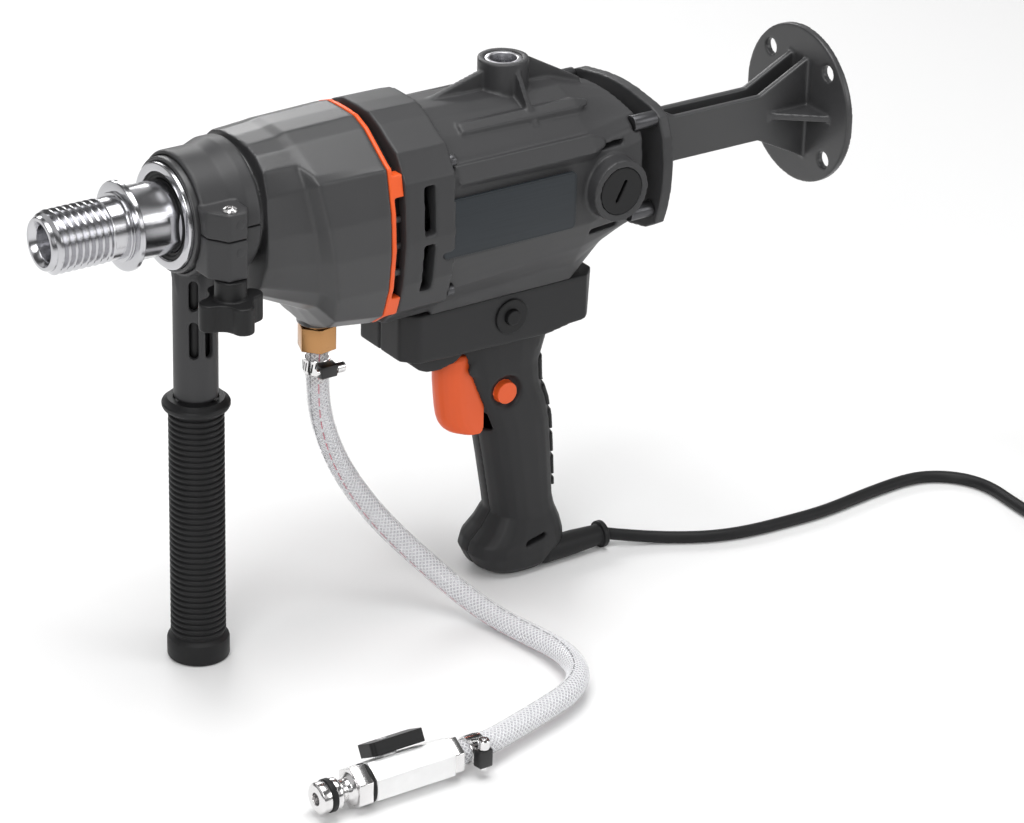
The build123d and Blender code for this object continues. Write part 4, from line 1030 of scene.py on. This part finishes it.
crease(screw.data, 30)
bpy.data.objects.remove(bpy.data.objects["cross_1"])
bpy.data.objects.remove(bpy.data.objects["cross_2"])
keep(screw, "nickel_plate", "polished_steel", "side_handle", "clamp_bolt")

machinings = [
    ("bearing_retainer", "turned_steel", "bright_plating", 0.4),
    ("water_inlet", "machined_brass", "machined_brass", 0.35),
    ("hose_connector", "nickel_plate", "bright_plating", 0.35),
    ("valve_body", "satin_plate", "bright_plating", 0.5),
    ("valve_nut", "nickel_plate", "bright_plating", 0.4),
    ("top_insert", "ground_steel", "polished_steel", 0.4),
    ("housing_screws", "dark_steel", "bright_plating", 0.5),
    ("standoff_bolts", "dark_steel", "core_iron", 0.4),
    ("name_plate", "label_film", "label_film", 0.25),
    ("valve_seals", "black_rubber", "black_rubber", 0.5),
    ("plug_pins", "pin_brass", "plug_brass", 0.6),
]
for node, material, slot, width_mm in machinings:
    machined(node, material, slot, width_mm)

carried_over = {
    "ground_steel": [
        "spindle_gear", "spindle_circlip", "countershaft", "countershaft_gear", "motor_pinion",
        "spindle_bearings", "countershaft_bearings", "armature_shaft", "motor_bearings", "valve_ball",
        "valve_stem", "hose_tail", "grip_screws",
    ],
    "black_plastic": ["bearing_plate", "fan", "switch_module"],
    "machined_brass": ["brush_holders"],
    "core_iron": ["stator", "armature_core", "carbon_brushes"],
    "wound_copper": ["commutator"],
}
for material, names in carried_over.items():
    for node in names:
        nodes[node].data.materials.clear()
        nodes[node].data.materials.append(materials[material])

# ------------------------------------------------------------------ floor and light
floor_mesh = bmesh.new()
bmesh.ops.create_grid(floor_mesh, x_segments=1, y_segments=1, size=6)
floor = from_bmesh("floor", floor_mesh)
floor_finish = Finish("floor", (0.86, 0.86, 0.86), 0.6)
floor.data.materials.append(floor_finish.done())

world = bpy.data.worlds.new("studio")
world.use_nodes = True
sky = world.node_tree
directions = sky.nodes.new("ShaderNodeTexCoord")
split = sky.nodes.new("ShaderNodeSeparateXYZ")
ramp = sky.nodes.new("ShaderNodeValToRGB")
# share of the way from straight down to straight up, and brightness there
sky_bands = [
    (0.0, 0.75), (0.50, 0.16), (0.60, 0.12), (0.66, 0.95),
    (0.78, 0.95), (0.84, 0.10), (0.91, 0.14), (0.96, 0.85),
]
while len(ramp.color_ramp.elements) < len(sky_bands):
    ramp.color_ramp.elements.new(0.5)
for element, (place, brightness) in zip(ramp.color_ramp.elements, sky_bands):
    element.position = place
    element.color = (brightness, brightness, brightness, 1)
height_share = sky.nodes.new("ShaderNodeMath")
height_share.operation = "MULTIPLY_ADD"
height_share.inputs[1].default_value = 0.5
height_share.inputs[2].default_value = 0.5
sky.links.new(directions.outputs["Generated"], split.inputs[0])
sky.links.new(split.outputs["Z"], height_share.inputs[0])
sky.links.new(height_share.outputs[0], ramp.inputs[0])
sky.links.new(ramp.outputs[0], sky.nodes["Background"].inputs["Color"])
sky.nodes["Background"].inputs["Strength"].default_value = 0.62
bpy.context.scene.world = world
bpy.context.scene.view_settings.view_transform = "Standard"


def softbox(name, place, target, width, height, power):
    """Rectangular area light aimed at a point."""
    light = bpy.data.lights.new(name, "AREA")
    light.shape = "RECTANGLE"
    light.size = width
    light.size_y = height
    light.energy = power
    made = bpy.data.objects.new(name, light)
    made.location = place
    made.rotation_mode = "QUATERNION"
    made.rotation_quaternion = (Vector(target) - Vector(place)).to_track_quat("-Z", "Y")
    bpy.context.scene.collection.objects.link(made)


softbox("top_light", (0.0, -0.1, 1.7), (0, 0, 0.1), 1.4, 1.0, 22)
softbox("key_light", (-1.5, -1.2, 1.3), (0, 0, 0.15), 0.9, 0.9, 16)
softbox("fill_light", (1.3, -1.6, 0.9), (0, 0, 0.15), 1.0, 0.8, 8)
softbox("rim_light", (0.4, 1.7, 1.0), (0, 0, 0.2), 1.2, 0.6, 12)
